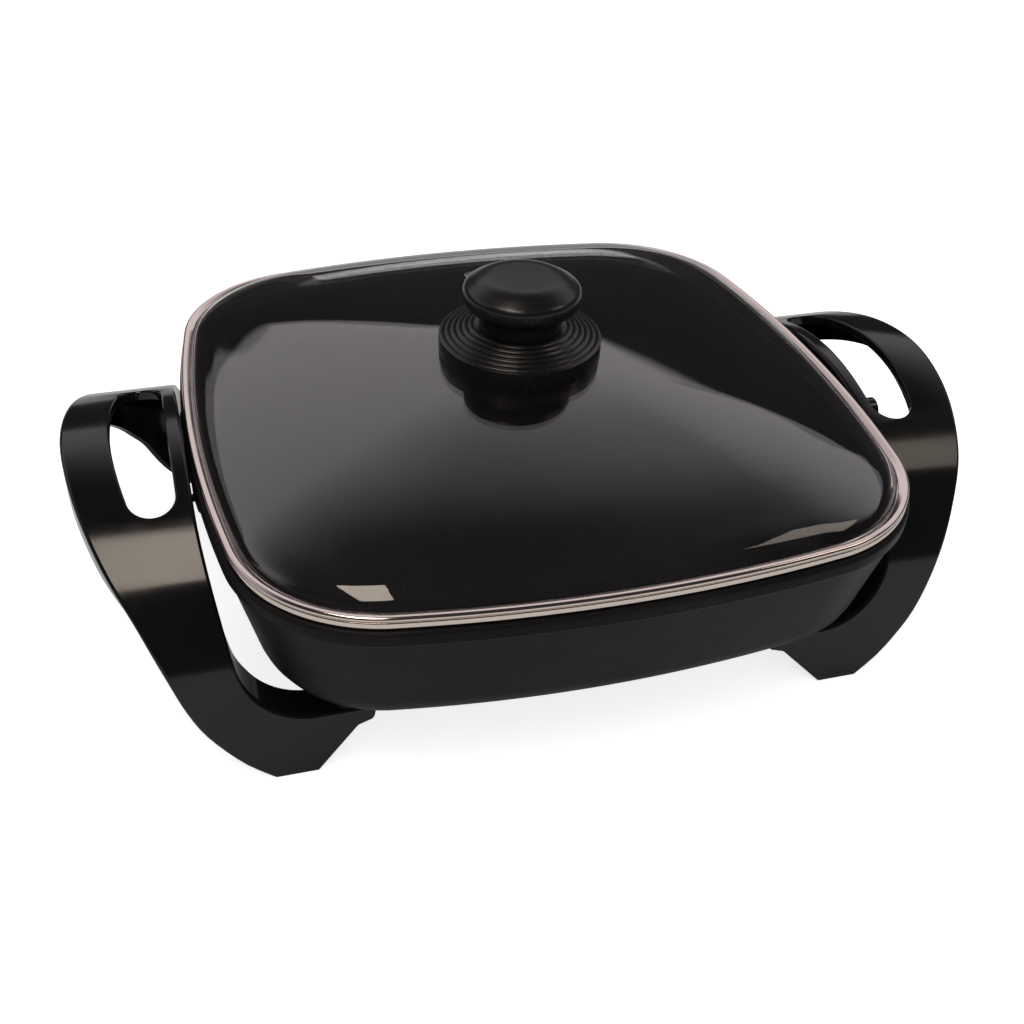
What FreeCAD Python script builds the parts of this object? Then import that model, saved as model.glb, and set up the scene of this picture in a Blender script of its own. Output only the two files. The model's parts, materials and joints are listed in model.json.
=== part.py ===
import FreeCAD, Part
import Sketcher
import math
import os

from FreeCAD import Placement, Rotation, Vector

# Electric skillet: a cast pan on two moulded side handles whose legs are the feet,
# a glass lid that lifts off, and a socket for a plug-in control at the right side.
# Millimetres, X to the right, Y to the back, Z up, the origin on the table under the knob.

doc = FreeCAD.newDocument("ElectricSkillet")

# Driving dimensions

sizes = doc.addObject("Spreadsheet::Sheet", "Sizes")
DRIVING_SIZES = [
    ("lid_half", 160.0, "half the lid's width, at the middle of a side"),
    ("side_radius", 640.0, "radius of each gently bowed side"),
    ("corner_radius", 69.0, "radius of each corner"),
    ("rim_top", 112.5, "top of the steel band on the lid"),
    ("rim_height", 6.0, "height of the band"),
    ("glass_top", 135.0, "top of the glass under the knob"),
    ("glass_thick", 4.0, "thickness of the glass"),
    ("lip_top", 106.0, "top of the pan's lip"),
    ("lip_reach", 1.3, "how far the lip stands out past the lid"),
    ("ledge", 100.2, "height of the ledge that the lid's skirt drops onto"),
    ("base_under", 38.0, "underside of the pan above the table"),
    ("floor_thick", 5.5, "thickness of the pan's floor"),
    ("pan_wall", 3.8, "thickness of the pan's wall"),
    ("wall_draft", 15.0, "lean of the pan's wall, in degrees"),
    ("heel_radius", 26.0, "radius between the pan's wall and its underside"),
    ("crown_top", 113.7, "top of the handle's arch"),
    ("crown_radius", 145.0, "radius of the arch's crown, seen from the side"),
    ("shoulder_radius", 76.0, "radius of the arch's shoulder"),
    ("leg_lean", 14.5, "lean of the legs, in degrees"),
    ("foot_front", 119.6, "from the middle of the pan to the front of a foot"),
    ("arch_depth", 16.0, "depth of the handle's channel"),
    ("arch_wall", 2.6, "wall of the handle's moulding"),
    ("collar_depth", 4.5, "depth of the wall around the hand hole"),
    ("strap_edge", 161.8, "inner edge of the strap beside the lid"),
    ("arm_top", 28.0, "top of the arms that reach under the pan"),
    ("arm_screw", 107.0, "from the middle to the screw in an arm"),
    ("strap_screw", 30.5, "from the middle to a screw in the strap"),
    ("strap_screw_rise", 94.3, "height of the screws in the strap"),
    ("strap_seat", 169.0, "where those screws' heads sit"),
    ("post_reach", 180.0, "end of the hollow posts around those screws"),
    ("ear_half", 36.0, "from the middle to the end of the ear that the strap is screwed to"),
    ("hole_edge", 168.9, "straight side of the hand hole"),
    ("hole_reach", 194.5, "curved side of the hand hole, at its middle"),
    ("hole_side_radius", 223.0, "radius of the hand hole's curved side"),
    ("hole_end_radius", 10.6, "radius of the hand hole's ends"),
    ("foot_inner", 122.7, "inner end of a foot"),
    ("notch_reach", 103.3, "inner end of the slant above a foot"),
    ("notch_rise", 18.9, "height of that end"),
    ("arm_end", 93.5, "inner end of an arm"),
    ("knob_radius", 27.8, "widest radius of the knob"),
    ("knob_foot", 147.8, "bottom of the knob's neck"),
    ("skirt_radius", 38.6, "radius of the ribbed disc under the knob"),
    ("skirt_top", 142.8, "outer edge of the ribbed disc"),
    ("element_rise", 34.5, "height of the heating element, the pins and the sensor's well"),
    ("element_half", 92.0, "half the width of the element's loop"),
    ("element_radius", 3.4, "radius of the element's sheath"),
    ("inlet_face", 146.0, "outer face of the block that the control plugs against"),
    ("pin_spacing", 29.0, "between the two terminal pins"),
    ("pin_radius", 2.35, "radius of a terminal pin"),
    ("pin_reach", 171.0, "end of the terminal pins"),
    ("pin_shoulder", 153.4, "where a terminal pin widens, clear of its insulator"),
    ("well_radius", 3.4, "radius of the well for the control's sensor"),
    ("well_depth", 40.0, "depth of the well"),
]
for row, (alias, number, words) in enumerate(DRIVING_SIZES, start=1):
    sizes.set(f"A{row}", words)
    sizes.set(f"B{row}", str(number))
    sizes.setAlias(f"B{row}", alias)
doc.recompute()


def value(expression):
    """The number that an expression in the sheet's cells gives."""
    result = sizes.evalExpression(str(expression))
    return float(getattr(result, "Value", result))


# Sketching

def new_body(label):
    body = doc.addObject("PartDesign::Body", label)
    body.Label = label
    return body


def sketch_on(body, name, role="XY_Plane", shift="0"):
    """A sketch on one of the body's own planes, moved along the plane's normal."""
    sketch = body.newObject("Sketcher::SketchObject", name)
    plane = [part for part in body.Origin.OriginFeatures if part.Role == role][0]
    sketch.AttachmentSupport = [(plane, "")]
    sketch.MapMode = "FlatFace"
    sketch.setExpression("AttachmentOffset.Base.z", str(shift))
    return sketch


def dimension(sketch, kind, *where):
    """A driving constraint, whose last argument is a number or an expression."""
    expression = str(where[-1])
    index = sketch.addConstraint(Sketcher.Constraint(kind, *where[:-1], value(expression)))
    if "Sizes" in expression:
        sketch.setExpression(f"Constraints[{index}]", expression)


def place_point(sketch, geometry, point, across, up):
    """Fix a point of a sketch at two expressions."""
    if value(across) == 0:
        sketch.addConstraint(Sketcher.Constraint("PointOnObject", geometry, point, -2))
    else:
        dimension(sketch, "DistanceX", -1, 1, geometry, point, across)
    if value(up) == 0:
        sketch.addConstraint(Sketcher.Constraint("PointOnObject", geometry, point, -1))
    else:
        dimension(sketch, "DistanceY", -1, 1, geometry, point, up)


def outline(sketch, corners, closed=True):
    """Straight runs through corners (across, up, radius), rounded where the radius isn't 0."""
    count = len(corners)
    spots = [Vector(value(corner[0]), value(corner[1]), 0) for corner in corners]
    radii = [value(corner[2]) if len(corner) > 2 else 0.0 for corner in corners]
    leave = []
    arrive = []
    for i in range(count):
        back = spots[i - 1] - spots[i]
        ahead = spots[(i + 1) % count] - spots[i]
        back.normalize()
        ahead.normalize()
        reach = radii[i] / math.tan(back.getAngle(ahead) / 2)
        arrive.append(spots[i] + back * reach)
        leave.append(spots[i] + ahead * reach)
    runs = count if closed else count - 1
    lines = []
    for i in range(runs):
        line = Part.LineSegment(leave[i], arrive[(i + 1) % count])
        lines.append(sketch.addGeometry(line, False))
    for i in range(count):
        if not closed and i == 0:
            place_point(sketch, lines[0], 1, *corners[0][:2])
            continue
        if not closed and i == count - 1:
            place_point(sketch, lines[-1], 2, *corners[-1][:2])
            continue
        before = lines[i - 1]
        after = lines[i] if i < runs else lines[0]
        if radii[i] == 0:
            sketch.addConstraint(Sketcher.Constraint("Coincident", before, 2, after, 1))
            place_point(sketch, after, 1, *corners[i][:2])
            continue
        back = arrive[i] - spots[i]
        ahead = leave[i] - spots[i]
        inward = back + ahead
        inward.normalize()
        middle = spots[i] + inward * (radii[i] / math.sin(back.getAngle(ahead) / 2))
        start = math.atan2((arrive[i] - middle).y, (arrive[i] - middle).x)
        end = math.atan2((leave[i] - middle).y, (leave[i] - middle).x)
        left_turn = back.cross(ahead).z < 0
        circle = Part.Circle(middle, Vector(0, 0, 1), radii[i])
        if left_turn:
            arc = sketch.addGeometry(Part.ArcOfCircle(circle, start, end), False)
            first, last = 1, 2
        else:
            arc = sketch.addGeometry(Part.ArcOfCircle(circle, end, start), False)
            first, last = 2, 1
        corner = sketch.addGeometry(Part.Point(spots[i]), True)
        sketch.addConstraint(Sketcher.Constraint("Tangent", before, 2, arc, first))
        sketch.addConstraint(Sketcher.Constraint("Tangent", arc, last, after, 1))
        sketch.addConstraint(Sketcher.Constraint("PointOnObject", corner, 1, before))
        sketch.addConstraint(Sketcher.Constraint("PointOnObject", corner, 1, after))
        dimension(sketch, "Radius", arc, corners[i][2])
        place_point(sketch, corner, 1, *corners[i][:2])


def circle(sketch, across, up, radius):
    ring = Part.Circle(Vector(value(across), value(up), 0), Vector(0, 0, 1), value(radius))
    geometry = sketch.addGeometry(ring, False)
    dimension(sketch, "Radius", geometry, radius)
    place_point(sketch, geometry, 3, across, up)


def corner_centre():
    """Where a corner's arc is centred, so that it runs smoothly into the two side arcs."""
    reach = value("Sizes.lid_half - Sizes.side_radius")
    gap = value("Sizes.side_radius - Sizes.corner_radius")
    return (reach + math.sqrt(2 * gap * gap - reach * reach)) / 2


def rounded_square(sketch, offset="0", scale=1.0):
    """The outline that the lid and the pan share: four bowed sides and four round corners."""
    half = value(f"{scale} * Sizes.lid_half + {offset}")
    side = value(f"{scale} * Sizes.side_radius + {offset}")
    corner = value(f"{scale} * Sizes.corner_radius + {offset}")
    base = half - side
    centre = corner_centre() * scale
    swing = math.atan2(centre, centre - base)
    up = Vector(0, 0, 1)
    arcs = []

    def add(middle, radius, start, end):
        arcs.append(sketch.addGeometry(Part.ArcOfCircle(Part.Circle(middle, up, radius), start, end), False))

    add(Vector(base, 0, 0), side, 0, swing)
    for quarter in range(4):
        turn = quarter * math.pi / 2
        spin = Rotation(up, math.degrees(turn))
        add(spin.multVec(Vector(centre, centre, 0)), corner, turn + swing, turn + math.pi / 2 - swing)
        if quarter < 3:
            turn += math.pi / 2
            spin = Rotation(up, math.degrees(turn))
            add(spin.multVec(Vector(base, 0, 0)), side, turn - swing, turn + swing)
    add(Vector(base, 0, 0), side, 2 * math.pi - swing, 2 * math.pi)

    constraint = Sketcher.Constraint
    count = len(arcs)
    for i in range(count):
        sketch.addConstraint(constraint("Tangent", arcs[i], 2, arcs[(i + 1) % count], 1))
    for i in (2, 4, 6, 8):
        sketch.addConstraint(constraint("Equal", arcs[0], arcs[i]))
    for i in (3, 5, 7):
        sketch.addConstraint(constraint("Equal", arcs[1], arcs[i]))
    dimension(sketch, "Radius", arcs[0], f"{scale} * Sizes.side_radius + {offset}")
    dimension(sketch, "Radius", arcs[1], f"{scale} * Sizes.corner_radius + {offset}")
    sketch.addConstraint(constraint("PointOnObject", arcs[0], 1, -1))
    sketch.addConstraint(constraint("PointOnObject", arcs[0], 3, -1))
    sketch.addConstraint(constraint("PointOnObject", arcs[2], 3, -2))
    sketch.addConstraint(constraint("PointOnObject", arcs[4], 3, -1))
    sketch.addConstraint(constraint("PointOnObject", arcs[6], 3, -2))
    away = f"{scale} * (Sizes.lid_half - Sizes.side_radius)"
    dimension(sketch, "DistanceX", -1, 1, arcs[0], 3, away)
    dimension(sketch, "DistanceY", -1, 1, arcs[2], 3, away)
    dimension(sketch, "DistanceX", arcs[4], 3, -1, 1, away)
    dimension(sketch, "DistanceY", arcs[6], 3, -1, 1, away)
    return [f"Edge{i + 1}" for i in range(count)]


# Features

def pad(body, sketch, length, both_ways=False, backwards=False):
    feature = body.newObject("PartDesign::Pad", sketch.Name + "_pad")
    feature.Profile = sketch
    feature.setExpression("Length", str(length))
    feature.Midplane = both_ways
    feature.Reversed = backwards
    doc.recompute()
    return feature


def pocket(body, sketch, length=None, both_ways=False, backwards=False):
    """Cut a sketch into the body, and see that something was cut."""
    before = body.Shape.Volume
    feature = body.newObject("PartDesign::Pocket", sketch.Name + "_pocket")
    feature.Profile = sketch
    feature.Midplane = both_ways
    feature.Reversed = backwards
    if length is None:
        feature.Type = "ThroughAll"
    else:
        feature.setExpression("Length", str(length))
    doc.recompute()
    if body.Shape.Volume > before - 0.01:
        raise ValueError(sketch.Name + " cut nothing")
    return feature


def sweep(body, section, path, edges, cut=False):
    kind = "SubtractivePipe" if cut else "AdditivePipe"
    feature = body.newObject("PartDesign::" + kind, section.Name + "_sweep")
    feature.Profile = section
    feature.Spine = (path, edges)
    doc.recompute()
    return feature


def loft(body, sections, cut=False):
    kind = "SubtractiveLoft" if cut else "AdditiveLoft"
    feature = body.newObject("PartDesign::" + kind, sections[0].Name + "_loft")
    feature.Profile = sections[0]
    feature.Sections = sections[1:]
    doc.recompute()
    return feature


def turned(label, corners):
    """A body turned about the Z axis from an outline of (radius, height, rounding)."""
    body = new_body(label)
    sketch = sketch_on(body, label + "_profile", "XZ_Plane")
    outline(sketch, corners)
    feature = body.newObject("PartDesign::Revolution", label + "_turning")
    feature.Profile = sketch
    feature.ReferenceAxis = (sketch, ["V_Axis"])
    feature.Angle = 360
    doc.recompute()
    return body


def ring(label, inner, outer, bottom, top):
    return turned(label, [(inner, bottom), (outer, bottom), (outer, top), (inner, top)])


def move(body, x, y, z, axis=Vector(0, 0, 1), angle=0.0):
    body.Placement = Placement(Vector(value(x), value(y), value(z)), Rotation(axis, angle))
    for name, expression in (("x", x), ("y", y), ("z", z)):
        if "Sizes" in str(expression):
            body.setExpression("Placement.Base." + name, str(expression))
    return body


def group(label, members):
    compound = doc.addObject("Part::Compound", label)
    compound.Label = label
    compound.Links = members
    doc.recompute()
    return compound


def fused(name, members):
    feature = doc.addObject("Part::MultiFuse", name)
    feature.Shapes = members
    doc.recompute()
    return feature


def shared(name, members):
    feature = doc.addObject("Part::MultiCommon", name)
    feature.Shapes = members
    doc.recompute()
    return feature


def less(name, base, tool):
    feature = doc.addObject("Part::Cut", name)
    feature.Base = base
    feature.Tool = tool
    doc.recompute()
    return feature


nodes = {}


def keep(node, feature):
    nodes[node] = feature
    feature.Label = node
    return feature


# Pan

WALL_LINE = "(Sizes.lid_half - 0.7 - (97 - {z}) * tan(Sizes.wall_draft))"


def wall_line(height, inward="0"):
    """Where the pan's leaning wall is at a height, or a wall's thickness inside it."""
    return WALL_LINE.format(z=height) + f" - {inward}"


pan = new_body("pan_body")
pan_path = sketch_on(pan, "pan_path")
path_edges = rounded_square(pan_path)
pan_section = sketch_on(pan, "pan_section", "XZ_Plane")
INSIDE = "Sizes.pan_wall / cos(Sizes.wall_draft)"
FLOOR_TOP = "Sizes.base_under + Sizes.floor_thick"
outline(pan_section, [
    ("Sizes.lid_half - 60", "Sizes.base_under"),
    (wall_line("Sizes.base_under"), "Sizes.base_under", "Sizes.heel_radius"),
    (wall_line("98"), "98"),
    ("Sizes.lid_half + Sizes.lip_reach", "99.6", "0.8"),
    ("Sizes.lid_half + Sizes.lip_reach", "Sizes.lip_top", "2.2"),
    ("Sizes.lid_half - 3.2", "Sizes.lip_top", "0.6"),
    ("Sizes.lid_half - 3.2", "Sizes.ledge"),
    ("Sizes.lid_half - 7.6", "Sizes.ledge", "0.8"),
    ("Sizes.lid_half - 7.6", "86", "20"),
    (wall_line(FLOOR_TOP, INSIDE), FLOOR_TOP, "Sizes.heel_radius - Sizes.pan_wall"),
    ("Sizes.lid_half - 60", FLOOR_TOP),
])
sweep(pan, pan_section, pan_path, path_edges)
floor_sketch = sketch_on(pan, "pan_floor", shift="Sizes.base_under")
rounded_square(floor_sketch, "-58")
pad(pan, floor_sketch, "Sizes.floor_thick")

# The cast rib that holds the element, the block for the control and the bosses for the arms

PIN_Y = "Sizes.pin_spacing / 2"
ROUTE_EDGES = [f"Edge{i + 1}" for i in range(13)]


def element_route(body, name, ends):
    """The loop of the heating element, seen from above, with both its ends at one X."""
    sketch = sketch_on(body, name, shift="Sizes.element_rise")
    half = "Sizes.element_half"
    outline(sketch, [
        (ends, "-" + PIN_Y),
        (half, "-" + PIN_Y, "12"),
        (half, "-" + half, "45"),
        ("-" + half, "-" + half, "45"),
        ("-" + half, half, "45"),
        (half, half, "45"),
        (half, PIN_Y, "12"),
        (ends, PIN_Y),
    ], closed=False)
    return sketch


BLOCK_ROOT = 98
BLOCK_HALF = 24
BLOCK_BOTTOM = 27.5
BLOCK_HEIGHT = 15.5
inlet = sketch_on(pan, "inlet_block", shift=BLOCK_BOTTOM)
outline(inlet, [
    (BLOCK_ROOT, -BLOCK_HALF, 4),
    ("Sizes.inlet_face", -BLOCK_HALF, 3),
    ("Sizes.inlet_face", BLOCK_HALF, 3),
    (BLOCK_ROOT, BLOCK_HALF, 4),
])
pad(pan, inlet, BLOCK_HEIGHT)

RIB_END = "Sizes.inlet_face - 20"
rib_route = element_route(pan, "rib_route", RIB_END)
RIB_HALF = 6.5
RIB_BOTTOM = 33
rib_section = sketch_on(pan, "rib_section", "YZ_Plane", RIB_END)
outline(rib_section, [
    (f"-{PIN_Y} - {RIB_HALF}", RIB_BOTTOM),
    (f"-{PIN_Y} + {RIB_HALF}", RIB_BOTTOM),
    (f"-{PIN_Y} + {RIB_HALF}", "Sizes.base_under + 0.5"),
    (f"-{PIN_Y} - {RIB_HALF}", "Sizes.base_under + 0.5"),
])
sweep(pan, rib_section, rib_route, ROUTE_EDGES)

ARM_Y = "(Sizes.arm_screw - 2)"
BOSS_RADIUS = 7
boss_sketch = sketch_on(pan, "arm_bosses", shift="Sizes.arm_top")
for side in ("", "-"):
    for end in ("", "-"):
        circle(boss_sketch, side + "Sizes.arm_screw", end + ARM_Y, BOSS_RADIUS)
pad(pan, boss_sketch, "Sizes.base_under - Sizes.arm_top + 1")

# Ears under the lip, which the handles' straps are screwed to

EAR_ROOT = 152
EAR_TOE = 154.5
EAR_TOP = 99.5
EAR_FOOT = 90.0
EAR_SLANT = 5
EAR_GAP = 0.1
STRAP_FOOT = 149.7
STRAP_TURN = 102.0
SCREW_HOLE = 1.9
EAR_HOLE_DEPTH = 6.5
BOSS_HOLE_DEPTH = 9


def strap_inside(height):
    """Just inside the strap's inner edge, which leans outwards from the arms up to the rim."""
    lean = f"(Sizes.strap_edge - {STRAP_FOOT}) / ({STRAP_TURN} - Sizes.arm_top)"
    return f"(Sizes.strap_edge - ({STRAP_TURN} - {height}) * {lean} - {EAR_GAP})"


for side, name in (("-", "left"), ("", "right")):
    ear = sketch_on(pan, "ear_" + name, "XZ_Plane")
    outline(ear, [
        (f"{side}{EAR_ROOT}", EAR_TOP),
        (side + strap_inside(EAR_TOP), EAR_TOP),
        (side + strap_inside(EAR_FOOT), EAR_FOOT, "2"),
        (f"{side}{EAR_TOE}", EAR_FOOT - EAR_SLANT, "3"),
        (f"{side}{EAR_ROOT}", EAR_FOOT - EAR_SLANT),
    ])
    pad(pan, ear, "2 * Sizes.ear_half", both_ways=True)

for side, name in (("-", "left"), ("", "right")):
    ear_holes = sketch_on(pan, "ear_holes_" + name, "YZ_Plane", side + "Sizes.strap_edge")
    for end in ("", "-"):
        circle(ear_holes, end + "Sizes.strap_screw", "Sizes.strap_screw_rise", SCREW_HOLE)
    pocket(pan, ear_holes, EAR_HOLE_DEPTH, backwards=name == "left")

boss_holes = sketch_on(pan, "boss_holes", shift="Sizes.arm_top")
for side in ("", "-"):
    for end in ("", "-"):
        circle(boss_holes, side + "Sizes.arm_screw", end + ARM_Y, SCREW_HOLE)
pocket(pan, boss_holes, BOSS_HOLE_DEPTH, backwards=True)

groove_route = element_route(pan, "groove_route", "Sizes.inlet_face + 1")
groove_section = sketch_on(pan, "groove_section", "YZ_Plane", "Sizes.inlet_face + 1")
circle(groove_section, "-" + PIN_Y, "Sizes.element_rise", "Sizes.element_radius + 0.05")
sweep(pan, groove_section, groove_route, ROUTE_EDGES, cut=True)

well = sketch_on(pan, "sensor_well", "YZ_Plane", "Sizes.inlet_face")
circle(well, "0", "Sizes.element_rise", "Sizes.well_radius")
pocket(pan, well, "Sizes.well_depth")
GUARD_SCREW_Y = 8.2
GUARD_SCREW_RISE = "Sizes.element_rise + 4.9"
guard_holes = sketch_on(pan, "guard_screw_holes", "YZ_Plane", "Sizes.inlet_face")
for end in ("", "-"):
    circle(guard_holes, f"{end}{GUARD_SCREW_Y}", GUARD_SCREW_RISE, "1.3")
pocket(pan, guard_holes, "8")
keep("pan_body", pan)

# Heating element, its pins and the insulators around them

element = new_body("heating_element")
route = element_route(element, "element_path", "Sizes.inlet_face + 1")
sheath = sketch_on(element, "sheath_section", "YZ_Plane", "Sizes.inlet_face + 1")
circle(sheath, "-" + PIN_Y, "Sizes.element_rise", "Sizes.element_radius")
sweep(element, sheath, route, ROUTE_EDGES)
keep("heating_element", element)

STUD_RADIUS = 1.8
for side, place in (("-", "front"), ("", "rear")):
    pin = turned("terminal_pin_" + place, [
        (0, 0),
        (STUD_RADIUS, 0),
        (STUD_RADIUS, "Sizes.pin_shoulder - Sizes.inlet_face - 1"),
        ("Sizes.pin_radius", "Sizes.pin_shoulder - Sizes.inlet_face - 1"),
        ("Sizes.pin_radius", "Sizes.pin_reach - Sizes.inlet_face - 1", "1.6"),
        (0, "Sizes.pin_reach - Sizes.inlet_face - 1"),
    ])
    move(pin, "Sizes.inlet_face + 1", side + PIN_Y, "Sizes.element_rise", Vector(0, 1, 0), 90)
    keep("terminal_pin_" + place, pin)
    insulator = turned("pin_insulator_" + place, [
        (STUD_RADIUS + 0.05, 0),
        (3.4, 0),
        (3.4, 3.2),
        (4.6, 3.2),
        (4.6, 5.4, 0.8),
        (STUD_RADIUS + 0.05, 5.4),
    ])
    move(insulator, "Sizes.inlet_face + 1", side + PIN_Y, "Sizes.element_rise", Vector(0, 1, 0), 90)
    keep("pin_insulator_" + place, insulator)

# Guard around the pins

GUARD_DEPTH = 26
GUARD_HALF = 27
GUARD_HALF_HEIGHT = 13.5
GUARD_CORNER = 6
GUARD_WALL = 2.2
GUARD_BACK = 2
SLOT_HALF = 5
SLOT_DROP = 11.3
SLOT_RISE = 4.3
guard = new_body("probe_guard")


def guard_outline(sketch, inset):
    side = GUARD_HALF - inset
    low = f"Sizes.element_rise - {GUARD_HALF_HEIGHT - inset}"
    high = f"Sizes.element_rise + {GUARD_HALF_HEIGHT - inset}"
    corner = GUARD_CORNER - inset
    outline(sketch, [(-side, low, corner), (side, low, corner), (side, high, corner), (-side, high, corner)])


shell = sketch_on(guard, "guard_shell", "YZ_Plane", "Sizes.inlet_face")
guard_outline(shell, 0)
pad(guard, shell, GUARD_DEPTH)
hollow = sketch_on(guard, "guard_hollow", "YZ_Plane", f"Sizes.inlet_face + {GUARD_BACK}")
guard_outline(hollow, GUARD_WALL)
pocket(guard, hollow, GUARD_DEPTH, backwards=True)
passages = sketch_on(guard, "guard_passages", "YZ_Plane", "Sizes.inlet_face")
for side in ("", "-"):
    circle(passages, side + PIN_Y, "Sizes.element_rise", "3.6")
    circle(passages, f"{side}{GUARD_SCREW_Y}", GUARD_SCREW_RISE, "1.6")
outline(passages, [
    (-SLOT_HALF, f"Sizes.element_rise - {SLOT_DROP}"),
    (SLOT_HALF, f"Sizes.element_rise - {SLOT_DROP}"),
    (SLOT_HALF, f"Sizes.element_rise + {SLOT_RISE}", 2),
    (-SLOT_HALF, f"Sizes.element_rise + {SLOT_RISE}", 2),
])
pocket(guard, passages, GUARD_BACK, backwards=True)
keep("probe_guard", guard)


def screw(name, shank, length, head, head_rise):
    """A round-headed screw along +Z, its head's seat at the origin and its shank below."""
    return turned(name, [
        (0, f"-{length}"),
        (shank, f"-{length}", 0.5),
        (shank, 0),
        (head, 0),
        (head, head_rise, f"{head_rise} * 0.7"),
        (0, head_rise),
    ])


guard_screws = []
for end, place in (("-", "front"), ("", "rear")):
    part = screw("guard_screw_" + place, 1.25, 9, 2.6, 1.8)
    guard_screws.append(move(
        part, f"Sizes.inlet_face + {GUARD_BACK}", f"{end}{GUARD_SCREW_Y}", GUARD_SCREW_RISE,
        Vector(0, 1, 0), 90,
    ))
keep("guard_screws", group("guard_screws", guard_screws))

# Handle: one moulded channel per side, an arch seen from the side and a curved strap seen from above

ARCH_HUB = 20.0
EDGE_STATIONS = [
    (0, 216.6), (15, 215.0), (30, 210.8), (45, 203.2), (60, 191.7), (72, 183.0), (80, 177.2),
    (86, 171.2), (91, 163.4), (95.5, 154.2), (99.5, 142.0), (104, 126.0),
]


def arch_centres():
    """The middle of the crown's arc and of the front shoulder's arc, as (across, up)."""
    lean = math.radians(value("Sizes.leg_lean"))
    along = Vector(math.sin(lean), math.cos(lean), 0)
    inward = Vector(math.cos(lean), -math.sin(lean), 0)
    crown = Vector(0, value("Sizes.crown_top - Sizes.crown_radius"), 0)
    start = Vector(-value("Sizes.foot_front"), 0, 0) + inward * value("Sizes.shoulder_radius") - crown
    gap = value("Sizes.crown_radius - Sizes.shoulder_radius")
    half = start.dot(along)
    step = -half + math.sqrt(half * half - start.dot(start) + gap * gap)
    return crown, start + along * step + crown


def arch_outline(sketch, inset, depth):
    """The arch seen from the side: two leaning legs, two shoulders and a crown, with its inner edge."""
    lean = math.radians(value("Sizes.leg_lean"))
    outward = Vector(-math.cos(lean), math.sin(lean), 0)
    crown, shoulder = arch_centres()
    turn = math.atan2((shoulder - crown).y, (shoulder - crown).x)
    up = Vector(0, 0, 1)

    def flip(point):
        return Vector(-point.x, point.y, 0)

    def chain(inset):
        """Rear leg, rear shoulder, crown, front shoulder and front leg, at one inset."""
        crown_radius = value(f"Sizes.crown_radius - {inset}")
        shoulder_radius = value(f"Sizes.shoulder_radius - {inset}")
        foot = Vector(-value(f"Sizes.foot_front - ({inset}) / cos(Sizes.leg_lean)"), 0, 0)
        knee = shoulder + outward * shoulder_radius
        pieces = [
            Part.LineSegment(flip(foot), flip(knee)),
            Part.ArcOfCircle(Part.Circle(flip(shoulder), up, shoulder_radius), lean, math.pi - turn),
            Part.ArcOfCircle(Part.Circle(crown, up, crown_radius), math.pi - turn, turn),
            Part.ArcOfCircle(Part.Circle(shoulder, up, shoulder_radius), turn, math.pi - lean),
            Part.LineSegment(knee, foot),
        ]
        return [sketch.addGeometry(piece, False) for piece in pieces], foot

    constraint = Sketcher.Constraint
    outer, outer_foot = chain(inset)
    inner, inner_foot = chain(f"{inset} + {depth}")
    for pieces in (outer, inner):
        for i in range(4):
            sketch.addConstraint(constraint("Tangent", pieces[i], 2, pieces[i + 1], 1))
    front = sketch.addGeometry(Part.LineSegment(outer_foot, inner_foot), False)
    rear = sketch.addGeometry(Part.LineSegment(flip(inner_foot), flip(outer_foot)), False)
    sketch.addConstraint(constraint("Coincident", outer[4], 2, front, 1))
    sketch.addConstraint(constraint("Coincident", front, 2, inner[4], 2))
    sketch.addConstraint(constraint("Coincident", inner[0], 1, rear, 1))
    sketch.addConstraint(constraint("Coincident", rear, 2, outer[0], 1))
    for i in (1, 2, 3):
        sketch.addConstraint(constraint("Coincident", outer[i], 3, inner[i], 3))
    for i in (0, 4):
        sketch.addConstraint(constraint("Parallel", outer[i], inner[i]))
    sketch.addConstraint(constraint("Equal", outer[1], outer[3]))
    dimension(sketch, "Radius", outer[2], f"Sizes.crown_radius - {inset}")
    dimension(sketch, "Radius", inner[2], f"Sizes.crown_radius - {inset} - {depth}")
    dimension(sketch, "Radius", outer[3], f"Sizes.shoulder_radius - {inset}")
    place_point(sketch, outer[2], 3, "0", "Sizes.crown_top - Sizes.crown_radius")
    foot = f"Sizes.foot_front - ({inset}) / cos(Sizes.leg_lean)"
    place_point(sketch, outer[4], 2, f"-({foot})", "0")
    place_point(sketch, outer[0], 1, foot, "0")
    for end, point in ((inner[4], 2), (inner[0], 1)):
        sketch.addConstraint(constraint("PointOnObject", end, point, -1))
    for line, sign in ((outer[0], 1), (outer[4], -1)):
        index = sketch.addConstraint(constraint("Angle", line, sign * (math.pi / 2 + lean)))
        sketch.setExpression(f"Constraints[{index}]", f"{sign} * (90 + Sizes.leg_lean) * 1 deg")


def arch_body(label, inset, depth):
    """The arch's band from the arms' ends outwards, trimmed to the strap's curved outer edge."""
    body = new_body(label)
    side = sketch_on(body, label + "_side", "YZ_Plane", "90")
    arch_outline(side, inset, depth)
    pad(body, side, "140")
    stations = [(-angle, reach) for angle, reach in reversed(EDGE_STATIONS[1:])] + EDGE_STATIONS
    sections = []
    for number, (angle, reach) in enumerate(stations):
        section = sketch_on(body, f"{label}_edge_{number}", "XZ_Plane")
        tilt = Rotation(Vector(1, 0, 0), angle)
        section.AttachmentOffset = Placement(Vector(0, ARCH_HUB, 0), tilt)
        section.setExpression("AttachmentOffset.Base.z", None)
        edge = f"{reach} - {inset}"
        outline(section, [(edge, "45"), ("260", "45"), ("260", "175"), (edge, "175")])
        sections.append(section)
    loft(body, sections, cut=True)
    return body


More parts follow.
